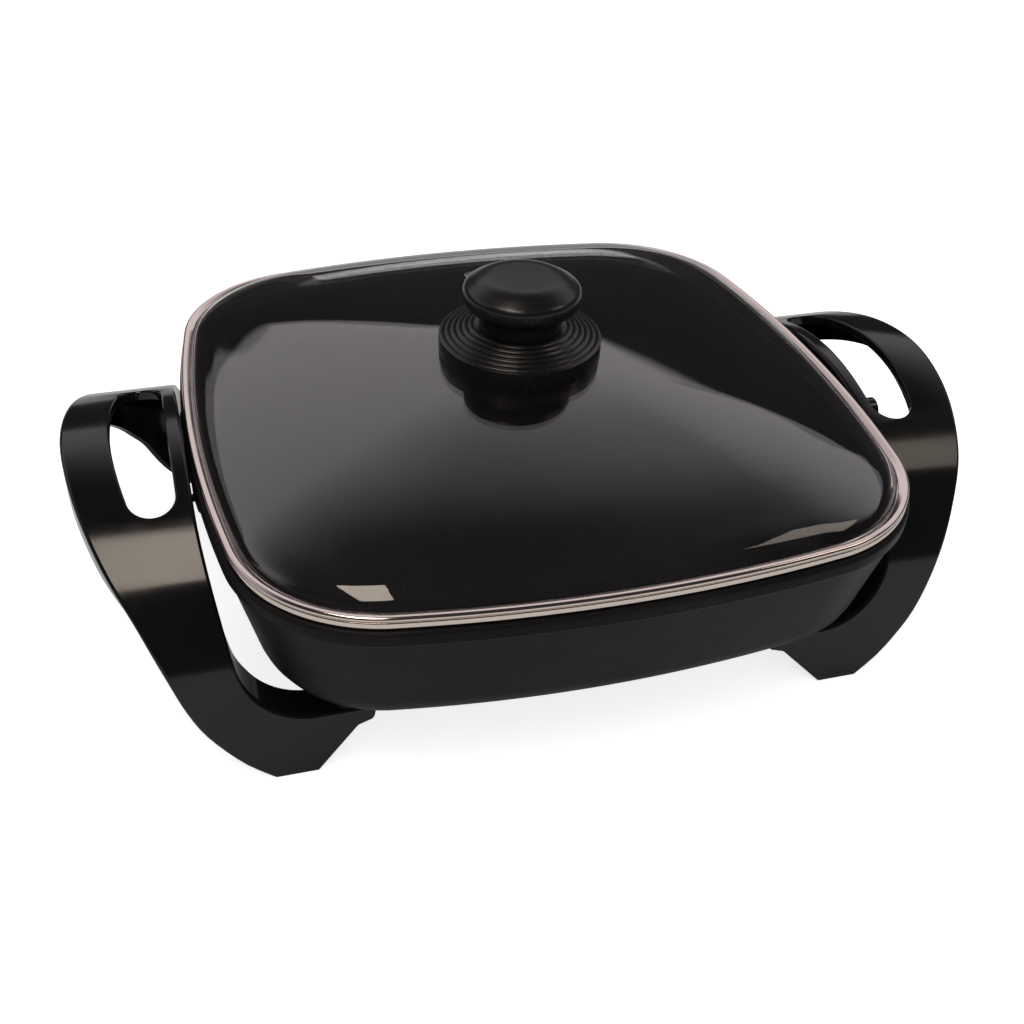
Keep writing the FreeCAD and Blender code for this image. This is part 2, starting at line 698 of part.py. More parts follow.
def window(body, name, wall="0"):
    """Cut the space beside the pan, above the arms and inside the strap."""
    sketch = sketch_on(body, name, "XZ_Plane")
    low = f"Sizes.arm_top - {wall}"
    outline(sketch, [
        ("80", low),
        (f"{STRAP_FOOT} + {wall}", low, f"33 + {wall}"),
        (f"Sizes.strap_edge + {wall}", STRAP_TURN, "60"),
        (f"Sizes.strap_edge + {wall}", "140"),
        ("80", "140"),
    ])
    pocket(body, sketch, "300", both_ways=True)


outer = arch_body("handle_outside", "0", "Sizes.arch_depth")
window(outer, "handle_window")
under = sketch_on(outer, "handle_underside", "XZ_Plane")
SLANT = "(Sizes.foot_inner - Sizes.notch_reach) / Sizes.notch_rise"
outline(under, [
    ("80", "-5"),
    (f"Sizes.foot_inner + 5 * {SLANT}", "-5"),
    ("Sizes.notch_reach", "Sizes.notch_rise", "3"),
    ("Sizes.arm_end + 2.5", "Sizes.notch_rise + 2.1", "3"),
    ("Sizes.arm_end", "30"),
    ("80", "30"),
])
pocket(outer, under, "300", both_ways=True)

core = arch_body("handle_inside", "Sizes.arch_wall", "Sizes.arch_depth + 4")
window(core, "core_window", "Sizes.arch_wall")
solid_arm = sketch_on(core, "core_limit", "XZ_Plane")
outline(solid_arm, [
    ("80", "-5"),
    ("250", "-5"),
    ("250", "3"),
    ("124", "3", "2"),
    ("124", "60"),
    ("80", "60"),
])
pocket(core, solid_arm, "300", both_ways=True)
shell = less("handle_shell", outer, core)


def hole_outline(sketch, grow="0"):
    """The hand hole seen from above: a straight side by the pan, a curved one outside, round ends."""
    end_radius = value(f"Sizes.hole_end_radius + {grow}")
    side_radius = value(f"Sizes.hole_side_radius + {grow}")
    edge = value(f"Sizes.hole_edge - {grow}")
    middle = value("Sizes.hole_reach - Sizes.hole_side_radius")
    across = edge + end_radius
    along = math.sqrt((side_radius - end_radius) ** 2 - (across - middle) ** 2)
    turn = math.atan2(along, across - middle)
    up = Vector(0, 0, 1)
    line = sketch.addGeometry(Part.LineSegment(Vector(edge, along, 0), Vector(edge, -along, 0)), False)
    near = sketch.addGeometry(
        Part.ArcOfCircle(Part.Circle(Vector(across, -along, 0), up, end_radius), math.pi, 2 * math.pi - turn),
        False,
    )
    side = sketch.addGeometry(
        Part.ArcOfCircle(Part.Circle(Vector(middle, 0, 0), up, side_radius), -turn, turn), False,
    )
    far = sketch.addGeometry(
        Part.ArcOfCircle(Part.Circle(Vector(across, along, 0), up, end_radius), turn, math.pi), False,
    )
    for one, other in ((line, near), (near, side), (side, far), (far, line)):
        sketch.addConstraint(Sketcher.Constraint("Tangent", one, 2, other, 1))
    sketch.addConstraint(Sketcher.Constraint("Equal", near, far))
    dimension(sketch, "Radius", near, f"Sizes.hole_end_radius + {grow}")
    dimension(sketch, "Radius", side, f"Sizes.hole_side_radius + {grow}")
    place_point(sketch, side, 3, "Sizes.hole_reach - Sizes.hole_side_radius", "0")
    dimension(sketch, "DistanceX", -1, 1, line, 1, f"Sizes.hole_edge - {grow}")


def hole_body(label, grow, bottom, height):
    body = new_body(label)
    sketch = sketch_on(body, label + "_outline", shift=bottom)
    hole_outline(sketch, grow)
    pad(body, sketch, height)
    return body


band = new_body("collar_band")
band_side = sketch_on(band, "collar_band_side", "YZ_Plane", "150")
arch_outline(band_side, "0", "Sizes.collar_depth")
pad(band, band_side, "60")
collar = shared("handle_collar", [band, hole_body("collar_outside", "Sizes.arch_wall", "70", "60")])
bare = fused("handle_with_collar", [shell, collar])
open_handle = less("handle_with_hole", bare, hole_body("hand_hole", "0", "60", "80"))


def rod(name, radius, length, x, y, z, along_x=False):
    """A plain cylinder upwards, or to the right, from a point."""
    cylinder = doc.addObject("Part::Cylinder", name)
    cylinder.setExpression("Radius", str(radius))
    cylinder.setExpression("Height", str(length))
    return move(cylinder, x, y, z, Vector(0, 1, 0), 90 if along_x else 0)


ARM_SEAT = 22
POST_RADIUS = 6.0
bosses = []
passages = []
for end, place in (("-", "front"), ("", "rear")):
    strap_spot = (end + "Sizes.strap_screw", "Sizes.strap_screw_rise")
    arm_spot = ("Sizes.arm_screw", end + ARM_Y)
    post = "Sizes.post_reach - Sizes.strap_edge"
    bosses.append(rod("strap_post_" + place, POST_RADIUS, post, "Sizes.strap_edge", *strap_spot, True))
    passages += [
        rod("strap_passage_" + place, 2.2, 20, 155, *strap_spot, True),
        rod("strap_seat_" + place, 4.2, 12, "Sizes.strap_seat", *strap_spot, True),
        rod("arm_passage_" + place, 2.2, 30, *arm_spot, 5),
        rod("arm_seat_" + place, 4.8, ARM_SEAT - 5, *arm_spot, 5),
    ]
with_bosses = fused("handle_with_bosses", [open_handle] + bosses)
right_handle = less("handle_right", with_bosses, fused("handle_passages", passages))
keep("handle_right", right_handle)
left_handle = doc.addObject("Part::Mirroring", "handle_left")
left_handle.Source = right_handle
left_handle.Normal = Vector(1, 0, 0)
doc.recompute()
keep("handle_left", left_handle)

# Screws and washers that hold the handles

for side, name, turn in (("-", "left", -90), ("", "right", 90)):
    strap_screws = []
    arm_screws = []
    arm_washers = []
    for end, place in (("-", "front"), ("", "rear")):
        label = f"{name}_{place}"
        strap_screws.append(move(
            screw("strap_screw_" + label, 1.85, 12.5, 3.8, 2.4),
            side + "Sizes.strap_seat", end + "Sizes.strap_screw", "Sizes.strap_screw_rise", Vector(0, 1, 0), turn,
        ))
        arm_screws.append(move(
            screw("arm_screw_" + label, 1.85, 14.5, 3.8, 2.4),
            side + "Sizes.arm_screw", end + ARM_Y, ARM_SEAT - 1, Vector(1, 0, 0), 180,
        ))
        washer = ring("arm_washer_" + label, 2.1, 4.5, 0, 1)
        arm_washers.append(move(washer, side + "Sizes.arm_screw", end + ARM_Y, ARM_SEAT - 1))
    keep("strap_screws_" + name, group("strap_screws_" + name, strap_screws))
    keep("arm_screws_" + name, group("arm_screws_" + name, arm_screws))
    keep("arm_washers_" + name, group("arm_washers_" + name, arm_washers))

# Steel band around the lid: a bead on top, a thin groove, and a skirt that drops inside the pan's lip

rim = new_body("rim_band")
rim_path = sketch_on(rim, "rim_path")
rim_edges = rounded_square(rim_path)
rim_section = sketch_on(rim, "rim_section", "XZ_Plane")
FACE = "Sizes.lid_half"
RIM_FOOT = "(Sizes.rim_top - Sizes.rim_height)"
GROOVE = "(Sizes.rim_top - 2.9)"
outline(rim_section, [
    (FACE, RIM_FOOT, 0.5),
    (FACE, GROOVE + " - 0.4"),
    (FACE + " - 0.5", GROOVE + " - 0.4"),
    (FACE + " - 0.5", GROOVE + " + 0.4"),
    (FACE, GROOVE + " + 0.4"),
    (FACE, "Sizes.rim_top", 1.4),
    (FACE + " - 5", "Sizes.rim_top", 0.5),
    (FACE + " - 5", "Sizes.rim_top - 1.2"),
    (FACE + " - 1.2", "Sizes.rim_top - 1.2", 0.3),
    (FACE + " - 1.2", RIM_FOOT + " + 1.2"),
    (FACE + " - 6", RIM_FOOT + " + 1.2", 0.6),
    (FACE + " - 6", "Sizes.ledge + 1"),
    (FACE + " - 5", "Sizes.ledge + 1"),
    (FACE + " - 5", RIM_FOOT),
])
sweep(rim, rim_section, rim_path, rim_edges)
keep("rim_band", rim)

# Glass of the lid: a steep edge that flattens into a low dome, as squares scaled towards the middle

GLASS_FOOT = 107.7
GLASS_UNDER = "Sizes.glass_top - Sizes.glass_thick"
GLASS_OUTSIDE = [
    (158.4, GLASS_FOOT), (158.4, 110.9), (155.2, 111.2), (153.8, 113.6), (149.6, 116.7), (140, 120),
    (115, 125.4), (80, 130.3), (45, 133.6), (18, "Sizes.glass_top"),
]
GLASS_INSIDE = [
    (152.6, GLASS_FOOT), (152.4, 109.8), (150.6, 111.8), (146.8, 113.7), (138, 116.2),
    (114, 121.5), (79, 126.3), (45, 129.6), (18, GLASS_UNDER),
]
glass = new_body("glass_dome")


def dome_sections(name, profile):
    sections = []
    for number, (half, rise) in enumerate(profile):
        section = sketch_on(glass, f"{name}_{number}", shift=rise)
        rounded_square(section, scale=half / value("Sizes.lid_half"))
        sections.append(section)
    return sections


def ruled_loft(body, sections, cut=False):
    feature = loft(body, sections, cut)
    feature.Ruled = True
    doc.recompute()
    return feature


ruled_loft(glass, dome_sections("glass_outside", GLASS_OUTSIDE))
ruled_loft(glass, dome_sections("glass_inside", GLASS_INSIDE), cut=True)

VENT_SPOT = (3, 93, 128.5)
VENT_TILT = -8
HOLE_LENGTH = 20
knob_hole = rod("knob_hole", 3.4, HOLE_LENGTH, 0, 0, 120)
vent_hole = move(rod("vent_hole", 3.1, HOLE_LENGTH, 0, 0, 0), 3, 91.5, 118.5, Vector(1, 0, 0), VENT_TILT)
keep("lid_glass", less("lid_glass", glass, fused("glass_holes", [knob_hole, vent_hole])))
eyelet = turned("vent_eyelet", [
    (2.0, -4.8),
    (4.6, -4.8, 0.3),
    (4.6, -4.1),
    (3.0, -4.1),
    (3.0, 0.1),
    (4.8, 0.1),
    (4.8, 0.9, 0.35),
    (2.0, 0.9, 0.35),
])
keep("vent_eyelet", move(eyelet, *VENT_SPOT, Vector(1, 0, 0), VENT_TILT))

# Knob on its ribbed disc, with what clamps the two through the glass

STEPS = 6
STEP_RUN = 2.75
STEP_RISE = 0.85
stairs = []
for step in range(STEPS):
    near = f"Sizes.skirt_radius - {step * STEP_RUN}"
    far = f"Sizes.skirt_radius - {(step + 1) * STEP_RUN}"
    level = f"Sizes.skirt_top + {step * STEP_RISE}"
    stairs += [(near, level, 0.3), (far, level)]
HUB_TOP = "Sizes.knob_foot"
keep("knob_skirt", turned("knob_skirt", [
    (3.0, "Sizes.glass_top + 0.8"),
    (9.0, "Sizes.glass_top + 0.8"),
    (9.0, "Sizes.skirt_top + 2.4", 1.5),
    ("Sizes.skirt_radius - 18", "Sizes.skirt_top + 2.4"),
    ("Sizes.skirt_radius - 2.5", "Sizes.skirt_top - 2.4", 1),
    ("Sizes.skirt_radius - 2.5", "Sizes.glass_top - 0.6"),
    ("Sizes.skirt_radius", "Sizes.glass_top - 0.6"),
] + stairs + [
    (f"Sizes.skirt_radius - {STEPS * STEP_RUN}", HUB_TOP, 0.2),
    (3.0, HUB_TOP),
]))
keep("upper_gasket", ring("upper_gasket", 3.4, 16, "Sizes.glass_top", "Sizes.glass_top + 0.8"))
keep("lower_gasket", ring("lower_gasket", 3.4, 10, GLASS_UNDER + " - 1", GLASS_UNDER))
keep("knob_washer", ring("knob_washer", 2.7, 10, GLASS_UNDER + " - 2", GLASS_UNDER + " - 1"))
keep("knob", turned("knob", [
    (4.5, HUB_TOP),
    (19.5, HUB_TOP, 0.6),
    (19.5, HUB_TOP + " + 8", 5),
    ("Sizes.knob_radius", HUB_TOP + " + 12.5", 2.5),
    ("Sizes.knob_radius", HUB_TOP + " + 19.5", 4),
    (19, HUB_TOP + " + 24.8", 16),
    (0, HUB_TOP + " + 24.8"),
    (0, HUB_TOP + " + 13"),
    (4.5, HUB_TOP + " + 13"),
]))
keep("knob_insert", ring("knob_insert", 2.5, 4.5, HUB_TOP + " + 0.6", HUB_TOP + " + 12.4"))
knob_screw = screw("knob_screw", 2.45, 29.5, 4.8, 2.4)
keep("knob_screw", move(knob_screw, 0, 0, GLASS_UNDER + " - 2", Vector(1, 0, 0), 180))

# Everything is sound before anything is written

doc.recompute()
for thing in doc.Objects:
    if "Invalid" in thing.State or "Error" in thing.State:
        raise ValueError(f"{thing.Label} failed: {thing.State}")
for node, feature in nodes.items():
    if feature.Shape.isNull() or not feature.Shape.isValid():
        raise ValueError(f"{node} has no sound shape")

os.makedirs("parts", exist_ok=True)
for node, feature in nodes.items():
    feature.Shape.exportStep(f"parts/{node}.step")
    box = feature.Shape.BoundBox
    print(f"{node}: {len(feature.Shape.Solids)} solids, {feature.Shape.Volume / 1000:.1f} ml, "
          f"x {box.XMin:.1f} to {box.XMax:.1f}, y {box.YMin:.1f} to {box.YMax:.1f}, "
          f"z {box.ZMin:.1f} to {box.ZMax:.1f}")
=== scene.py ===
# %% [markdown]
# An electric skillet: a square cast pan under a domed glass lid, with two deep handles of black phenolic
# that reach down past the pan and carry it on four feet. The engineering model of the same object is loaded
# first and gives every size and place. The pieces are then modelled over it, one cell at a time, in metres
# and in the same frame, and each one is given the finish that the real one has.

# %% Load the engineering model
import json
import math

import bmesh
import bpy
from mathutils import Matrix, Vector


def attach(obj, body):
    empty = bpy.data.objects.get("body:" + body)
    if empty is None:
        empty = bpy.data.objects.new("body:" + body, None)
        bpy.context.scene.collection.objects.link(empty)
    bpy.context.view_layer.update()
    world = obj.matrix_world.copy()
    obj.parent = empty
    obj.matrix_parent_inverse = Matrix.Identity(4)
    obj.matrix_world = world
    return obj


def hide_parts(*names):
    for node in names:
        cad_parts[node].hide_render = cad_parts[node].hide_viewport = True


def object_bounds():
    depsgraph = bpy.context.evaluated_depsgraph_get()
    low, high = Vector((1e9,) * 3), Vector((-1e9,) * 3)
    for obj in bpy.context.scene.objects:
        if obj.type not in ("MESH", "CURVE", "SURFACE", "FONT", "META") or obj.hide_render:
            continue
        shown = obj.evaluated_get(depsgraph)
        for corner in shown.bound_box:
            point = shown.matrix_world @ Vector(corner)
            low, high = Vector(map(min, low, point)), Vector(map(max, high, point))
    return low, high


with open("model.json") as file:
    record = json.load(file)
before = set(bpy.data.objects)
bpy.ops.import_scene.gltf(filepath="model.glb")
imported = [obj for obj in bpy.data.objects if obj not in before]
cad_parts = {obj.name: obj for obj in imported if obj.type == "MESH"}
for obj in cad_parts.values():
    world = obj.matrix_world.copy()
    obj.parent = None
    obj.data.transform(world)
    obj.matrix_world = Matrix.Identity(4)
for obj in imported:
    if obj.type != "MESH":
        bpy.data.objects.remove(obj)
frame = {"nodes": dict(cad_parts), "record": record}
cad_low, cad_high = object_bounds()
SIZE = Vector(cad_high) - Vector(cad_low)
print("pieces in the model:", len(frame["nodes"]), "size in mm:", [round(1000 * side, 1) for side in SIZE])

# %% [markdown]
# Sizes of small things read best in millimetres, while Blender works in metres. One constant turns the one
# into the other, and the plan of the pan is kept as the few numbers that a draughtsman would give: each side
# is a long shallow arc, and each corner is a tighter one that runs into it.

# %% Units and the plan of the pan
MM = 0.001
HALF_SIDE = 160 * MM
SIDE_RADIUS = 640 * MM
CORNER_RADIUS = 69 * MM
SIDE_CENTRE = HALF_SIDE - SIDE_RADIUS
CORNER_CENTRE = (SIDE_CENTRE + math.sqrt(2 * (SIDE_RADIUS - CORNER_RADIUS) ** 2 - SIDE_CENTRE ** 2)) / 2
SIDE_SWING = math.atan2(CORNER_CENTRE, CORNER_CENTRE - SIDE_CENTRE)
CORNER_SWING = math.radians(90) - 2 * SIDE_SWING
print("side arc turns", round(math.degrees(2 * SIDE_SWING), 2), "degrees, corner arc",
      round(math.degrees(CORNER_SWING), 2))

# %% [markdown]
# The camera stands in front of the skillet and a little to its left, and looks down on it from above. It is
# placed by its direction from the object and its distance, and then turned by a matrix whose columns are its
# own right, up and backward directions, because that also holds the camera's slight roll.

# %% Camera
CAMERA_SIDE = math.radians(14.87)
CAMERA_HEIGHT = math.radians(35.88)
CAMERA_ROLL = math.radians(1.01)
CAMERA_DISTANCE = 689.05 * MM
CAMERA_SLIDE = (-34.15 * MM, 35.19 * MM)
IMAGE_SIDE = 1024
FOCAL_PIXELS = 1275.35
CENTRE_OFFSET = (-67.16, -10.30)

back = Vector((-math.sin(CAMERA_SIDE) * math.cos(CAMERA_HEIGHT),
               -math.cos(CAMERA_SIDE) * math.cos(CAMERA_HEIGHT),
               math.sin(CAMERA_HEIGHT)))
level_right = (-back).cross(Vector((0, 0, 1))).normalized()
level_up = level_right.cross(-back)
right = level_right * math.cos(CAMERA_ROLL) + level_up * math.sin(CAMERA_ROLL)
up = level_up * math.cos(CAMERA_ROLL) - level_right * math.sin(CAMERA_ROLL)
place = back * CAMERA_DISTANCE + level_right * CAMERA_SLIDE[0] + level_up * CAMERA_SLIDE[1]

camera_data = bpy.data.cameras.new("camera")
camera = bpy.data.objects.new("camera", camera_data)
bpy.context.scene.collection.objects.link(camera)
camera.matrix_world = Matrix.Translation(place) @ Matrix((right, up, back)).transposed().to_4x4()
camera_data.sensor_width = 36
camera_data.lens = camera_data.sensor_width * FOCAL_PIXELS / IMAGE_SIDE
camera_data.shift_x = -CENTRE_OFFSET[0] / IMAGE_SIDE
camera_data.shift_y = CENTRE_OFFSET[1] / IMAGE_SIDE
camera_data.clip_start = 0.01
bpy.context.scene.camera = camera
bpy.context.scene.view_settings.view_transform = "Standard"
print("lens in mm:", round(camera_data.lens, 2), "camera at:", [round(value, 3) for value in place])

# %% [markdown]
# A material is a chain of small boxes. The helpers here add one box, join two sockets and start a material
# with nothing but its Principled BSDF, so that the cells that follow read as a list of what the surface has.

# %% Helpers for node trees
def add_node(tree, kind, **settings):
    """A new node of one kind, with its own settings."""
    node = tree.nodes.new(kind)
    for name, value in settings.items():
        setattr(node, name, value)
    return node


def feed(tree, value, socket):
    """Join an output to a socket, or set the socket to a plain value."""
    if isinstance(value, bpy.types.NodeSocket):
        tree.links.new(value, socket)
    else:
        socket.default_value = value


def math_node(tree, operation, first, second=0.0, clamp=False):
    """The result of one sum on two values."""
    node = add_node(tree, "ShaderNodeMath", operation=operation, use_clamp=clamp)
    feed(tree, first, node.inputs[0])
    feed(tree, second, node.inputs[1])
    return node.outputs[0]


def ramp(tree, value, low, high, to_low=0.0, to_high=1.0):
    """A value carried smoothly from one range to another and held at the ends."""
    node = add_node(tree, "ShaderNodeMapRange", interpolation_type="SMOOTHSTEP")
    feed(tree, value, node.inputs["Value"])
    for name, setting in (("From Min", low), ("From Max", high), ("To Min", to_low), ("To Max", to_high)):
        feed(tree, setting, node.inputs[name])
    return node.outputs["Result"]


def mix_colour(tree, amount, first, second):
    """Two colours mixed by an amount."""
    node = add_node(tree, "ShaderNodeMix", data_type="RGBA")
    feed(tree, amount, node.inputs[0])
    feed(tree, first, node.inputs[6])
    feed(tree, second, node.inputs[7])
    return node.outputs[2]


def noise(tree, where, scale, detail=3.0, roughness=0.5, distortion=0.0):
    """A cloud pattern."""
    node = add_node(tree, "ShaderNodeTexNoise")
    feed(tree, where, node.inputs["Vector"])
    for name, setting in (("Scale", scale), ("Detail", detail), ("Roughness", roughness), ("Distortion", distortion)):
        feed(tree, setting, node.inputs[name])
    return node.outputs["Fac"]


# %% [markdown]
# The studio. A product shot of glossy black plastic under glass is a picture of what the surfaces reflect, so
# the room matters more than the lamps: a large white sheet stands behind the table from a little above the
# table top and fades as it rises. It is painted on the world by direction, for the rays that mirror or pass
# through a surface only, and below the level of the table the same world is a pale floor. Plain light at an
# even level does the rest.

# %% World
PLAIN_LIGHT = 0.42
SHEET_FOOT = math.sin(math.radians(24.5))
SHEET_FULL = math.sin(math.radians(25.6))
SHEET_FADE = (math.sin(math.radians(33)), math.sin(math.radians(62)))
SHEET_BRIGHTNESS = 0.90
SHEET_COLOUR = (1.0, 0.93, 1.02, 1.0)
SHEET_ENDS = (-0.1, 0.25)
ROOM_BRIGHTNESS = 0.04
FLOOR_BRIGHTNESS = 0.9
FLOOR_EDGE = -0.02

world = bpy.data.worlds.new("studio")
bpy.context.scene.world = world
world.use_nodes = True
room = world.node_tree
room.nodes.clear()
direction = add_node(room, "ShaderNodeTexCoord").outputs["Generated"]
axes = add_node(room, "ShaderNodeSeparateXYZ")
feed(room, direction, axes.inputs[0])
depth, height = axes.outputs[1:]

sheet_foot = ramp(room, height, SHEET_FOOT, SHEET_FULL)
sheet_fade = ramp(room, height, SHEET_FADE[0], SHEET_FADE[1], SHEET_BRIGHTNESS, ROOM_BRIGHTNESS)
sheet_side = ramp(room, depth, *SHEET_ENDS)
sheet = math_node(room, "MULTIPLY", math_node(room, "MULTIPLY", sheet_foot, sheet_fade), sheet_side)

below = ramp(room, height, FLOOR_EDGE, 0.0, FLOOR_BRIGHTNESS, 0.0)
seen = math_node(room, "ADD", sheet, below)
seen = math_node(room, "MAXIMUM", seen, ROOM_BRIGHTNESS)

rays = add_node(room, "ShaderNodeLightPath")
mirrored = math_node(room, "MAXIMUM", rays.outputs["Is Glossy Ray"], rays.outputs["Is Transmission Ray"])
level = add_node(room, "ShaderNodeMix", data_type="FLOAT")
feed(room, mirrored, level.inputs[0])
feed(room, PLAIN_LIGHT, level.inputs[2])
feed(room, seen, level.inputs[3])
strength = math_node(room, "MAXIMUM", level.outputs[0], rays.outputs["Is Camera Ray"])
background = add_node(room, "ShaderNodeBackground")
feed(room, mix_colour(room, mirrored, (1.0, 1.0, 1.0, 1.0), SHEET_COLOUR), background.inputs["Color"])
feed(room, strength, background.inputs["Strength"])
feed(room, background.outputs[0], add_node(room, "ShaderNodeOutputWorld").inputs["Surface"])
print("world painted with", len(room.nodes), "nodes")

# %% [markdown]
# The table top is one pale plane. It keeps the soft shadow of the object, and for the rays that reach the
# camera, straight or through the glass, it adds white of its own, so that the ground reads as paper while the
# object keeps its plain light. Glossy surfaces mirror a much weaker white, or black plastic would look grey.

# %% Table top
FLOOR_SIDE = 8.0
FLOOR_OWN_WHITE = 0.76
FLOOR_WHITE_IN_GLOSS = 0.12
FLOOR_COLOUR = (0.78, 0.78, 0.78, 1.0)

bpy.ops.object.select_all(action="DESELECT")
bpy.ops.mesh.primitive_plane_add(size=FLOOR_SIDE, location=(0, 0, 0))
table_top = bpy.context.object
table_top.name = "table_top"
floor_material = bpy.data.materials.new("white_table")
floor_material.use_nodes = True
tree = floor_material.node_tree
shader = tree.nodes["Principled BSDF"]
grain = noise(tree, add_node(tree, "ShaderNodeTexCoord").outputs["Object"], 3.0)
feed(tree, mix_colour(tree, grain, FLOOR_COLOUR, (0.80, 0.80, 0.80, 1.0)), shader.inputs["Base Color"])
shader.inputs["Roughness"].default_value = 0.9
shader.inputs["Specular IOR Level"].default_value = 0.1
rays = add_node(tree, "ShaderNodeLightPath")
straight = math_node(tree, "MAXIMUM", rays.outputs["Is Camera Ray"], rays.outputs["Is Transmission Ray"])
mirrored = math_node(tree, "MULTIPLY", rays.outputs["Is Glossy Ray"], FLOOR_WHITE_IN_GLOSS)
feed(tree, (1.0, 1.0, 1.0, 1.0), shader.inputs["Emission Color"])
feed(tree, math_node(tree, "MAXIMUM", math_node(tree, "MULTIPLY", straight, FLOOR_OWN_WHITE), mirrored),
     shader.inputs["Emission Strength"])
table_top.data.materials.append(floor_material)
print("table top", FLOOR_SIDE, "m wide")

# %% [markdown]
# Two broad lamps give the even light a gentle lean from the upper left and the front, as softboxes do. They are
# left out of mirror reflections, where the painted sheet already stands for them. Two small warm cards hang
# high above the handles and show only in reflections: each lays one soft patch on a polished strap, and the
# glass mirrors them too.

# %% Lamps
CARD_COLOUR = (1.0, 0.86, 0.74)


def add_lamp(name, place, target, width, power):
    """A square soft lamp that looks at a point."""
    lamp_data = bpy.data.lights.new(name, "AREA")
    lamp_data.shape = "SQUARE"
    lamp_data.size = width
    lamp_data.energy = power
    lamp = bpy.data.objects.new(name, lamp_data)
    bpy.context.scene.collection.objects.link(lamp)
    look = (Vector(target) - Vector(place)).to_track_quat("-Z", "Y")
    lamp.matrix_world = Matrix.Translation(place) @ look.to_matrix().to_4x4()
    lamp.visible_glossy = False
    lamp.visible_transmission = False
    lamp.visible_camera = False
    return lamp


def add_card(name, place, target, width, length, power):
    """A small warm card that shows only in reflections."""
    card = add_lamp(name, place, target, width, power)
    card.data.shape = "RECTANGLE"
    card.data.size_y = length
    card.data.color = CARD_COLOUR
    card.visible_diffuse = False
    card.visible_glossy = True
    return card


add_lamp("overhead_softbox", (-0.3, -0.4, 1.5), (0, 0, 0.05), 1.2, 9.0)
add_lamp("front_fill", (0.6, -1.5, 0.7), (0, 0, 0.08), 0.9, 3.0)
add_card("left_card", (-0.195, -0.185, 0.65), (-0.185, -0.07, 0.095), 0.16, 0.34, 1.5)
add_card("right_card", (0.535, -0.18, 0.65), (0.173, -0.07, 0.095), 0.20, 0.28, 0.5)
print("lamps:", [light.name for light in bpy.data.lights])

# %% [markdown]
# Effects that several finishes share are node groups, built once and placed with their own values. The first
# is the fine orange-peel of a sprayed coating, the second the faint wiping marks that any polished surface
# collects, and the third the slow waviness that a thick moulding keeps from its tool.

# %% Shared surface effects
def new_group(name, inputs, outputs):
    """An empty node group with named sockets, its tree and its two end nodes."""
    group = bpy.data.node_groups.new(name, "ShaderNodeTree")
    for socket, kind, value in inputs:
        made = group.interface.new_socket(socket, in_out="INPUT", socket_type=kind)
        if value is not None:
            made.default_value = value
    for socket, kind in outputs:
        group.interface.new_socket(socket, in_out="OUTPUT", socket_type=kind)
    start = add_node(group, "NodeGroupInput")
    end = add_node(group, "NodeGroupOutput")
    return group, start, end


FLOAT = "NodeSocketFloat"
VECTOR = "NodeSocketVector"

sprayed_coat, start, end = new_group(
    "sprayed_coat",
    (("Position", VECTOR, None), ("Grain Scale", FLOAT, 900.0), ("Fleck Amount", FLOAT, 0.5)),
    (("Height", FLOAT), ("Flecks", FLOAT), ("Patches", FLOAT)))
fine = noise(sprayed_coat, start.outputs["Position"], start.outputs["Grain Scale"], 2.0, 0.6)
cells = add_node(sprayed_coat, "ShaderNodeTexVoronoi", feature="F1")
feed(sprayed_coat, start.outputs["Position"], cells.inputs["Vector"])
feed(sprayed_coat, start.outputs["Grain Scale"], cells.inputs["Scale"])
flecks = ramp(sprayed_coat, cells.outputs["Distance"], 0.10, 0.28, 1.0, 0.0)
feed(sprayed_coat, fine, end.inputs["Height"])
feed(sprayed_coat, math_node(sprayed_coat, "MULTIPLY", flecks, start.outputs["Fleck Amount"]), end.inputs["Flecks"])
feed(sprayed_coat, ramp(sprayed_coat, noise(sprayed_coat, start.outputs["Position"], 14.0, 4.0), 0.35, 0.7),
     end.inputs["Patches"])

wiping_marks, start, end = new_group(
    "wiping_marks",
    (("Position", VECTOR, None), ("Density", FLOAT, 60.0), ("Amount", FLOAT, 0.05)),
    (("Roughness Change", FLOAT), ("Smudge", FLOAT)))
stretched = add_node(wiping_marks, "ShaderNodeMapping")
feed(wiping_marks, start.outputs["Position"], stretched.inputs["Vector"])
stretched.inputs["Scale"].default_value = (1.0, 9.0, 2.0)
stretched.inputs["Rotation"].default_value = (0.2, 0.1, 0.5)
streaks = noise(wiping_marks, stretched.outputs[0], start.outputs["Density"], 4.0, 0.7)
smudge = ramp(wiping_marks, noise(wiping_marks, start.outputs["Position"], 22.0, 3.0, 0.6, 0.6), 0.45, 0.75)
marks = math_node(wiping_marks, "ADD", math_node(wiping_marks, "MULTIPLY", streaks, 0.6),
                  math_node(wiping_marks, "MULTIPLY", smudge, 0.6))
feed(wiping_marks, math_node(wiping_marks, "MULTIPLY", marks, start.outputs["Amount"]),
     end.inputs["Roughness Change"])
feed(wiping_marks, smudge, end.inputs["Smudge"])

moulded_skin, start, end = new_group(
    "moulded_skin",
    (("Position", VECTOR, None), ("Wave Scale", FLOAT, 18.0), ("Pore Scale", FLOAT, 1400.0)),
    (("Height", FLOAT), ("Mottle", FLOAT)))
waves = noise(moulded_skin, start.outputs["Position"], start.outputs["Wave Scale"], 1.0, 0.4)
pores = noise(moulded_skin, start.outputs["Position"], start.outputs["Pore Scale"], 2.0, 0.6)
feed(moulded_skin, math_node(moulded_skin, "ADD", math_node(moulded_skin, "MULTIPLY", waves, 0.8),
                             math_node(moulded_skin, "MULTIPLY", pores, 0.02)), end.inputs["Height"])
feed(moulded_skin, noise(moulded_skin, start.outputs["Position"], 35.0, 4.0, 0.6), end.inputs["Mottle"])
print("shared effects:", [group.name for group in bpy.data.node_groups])


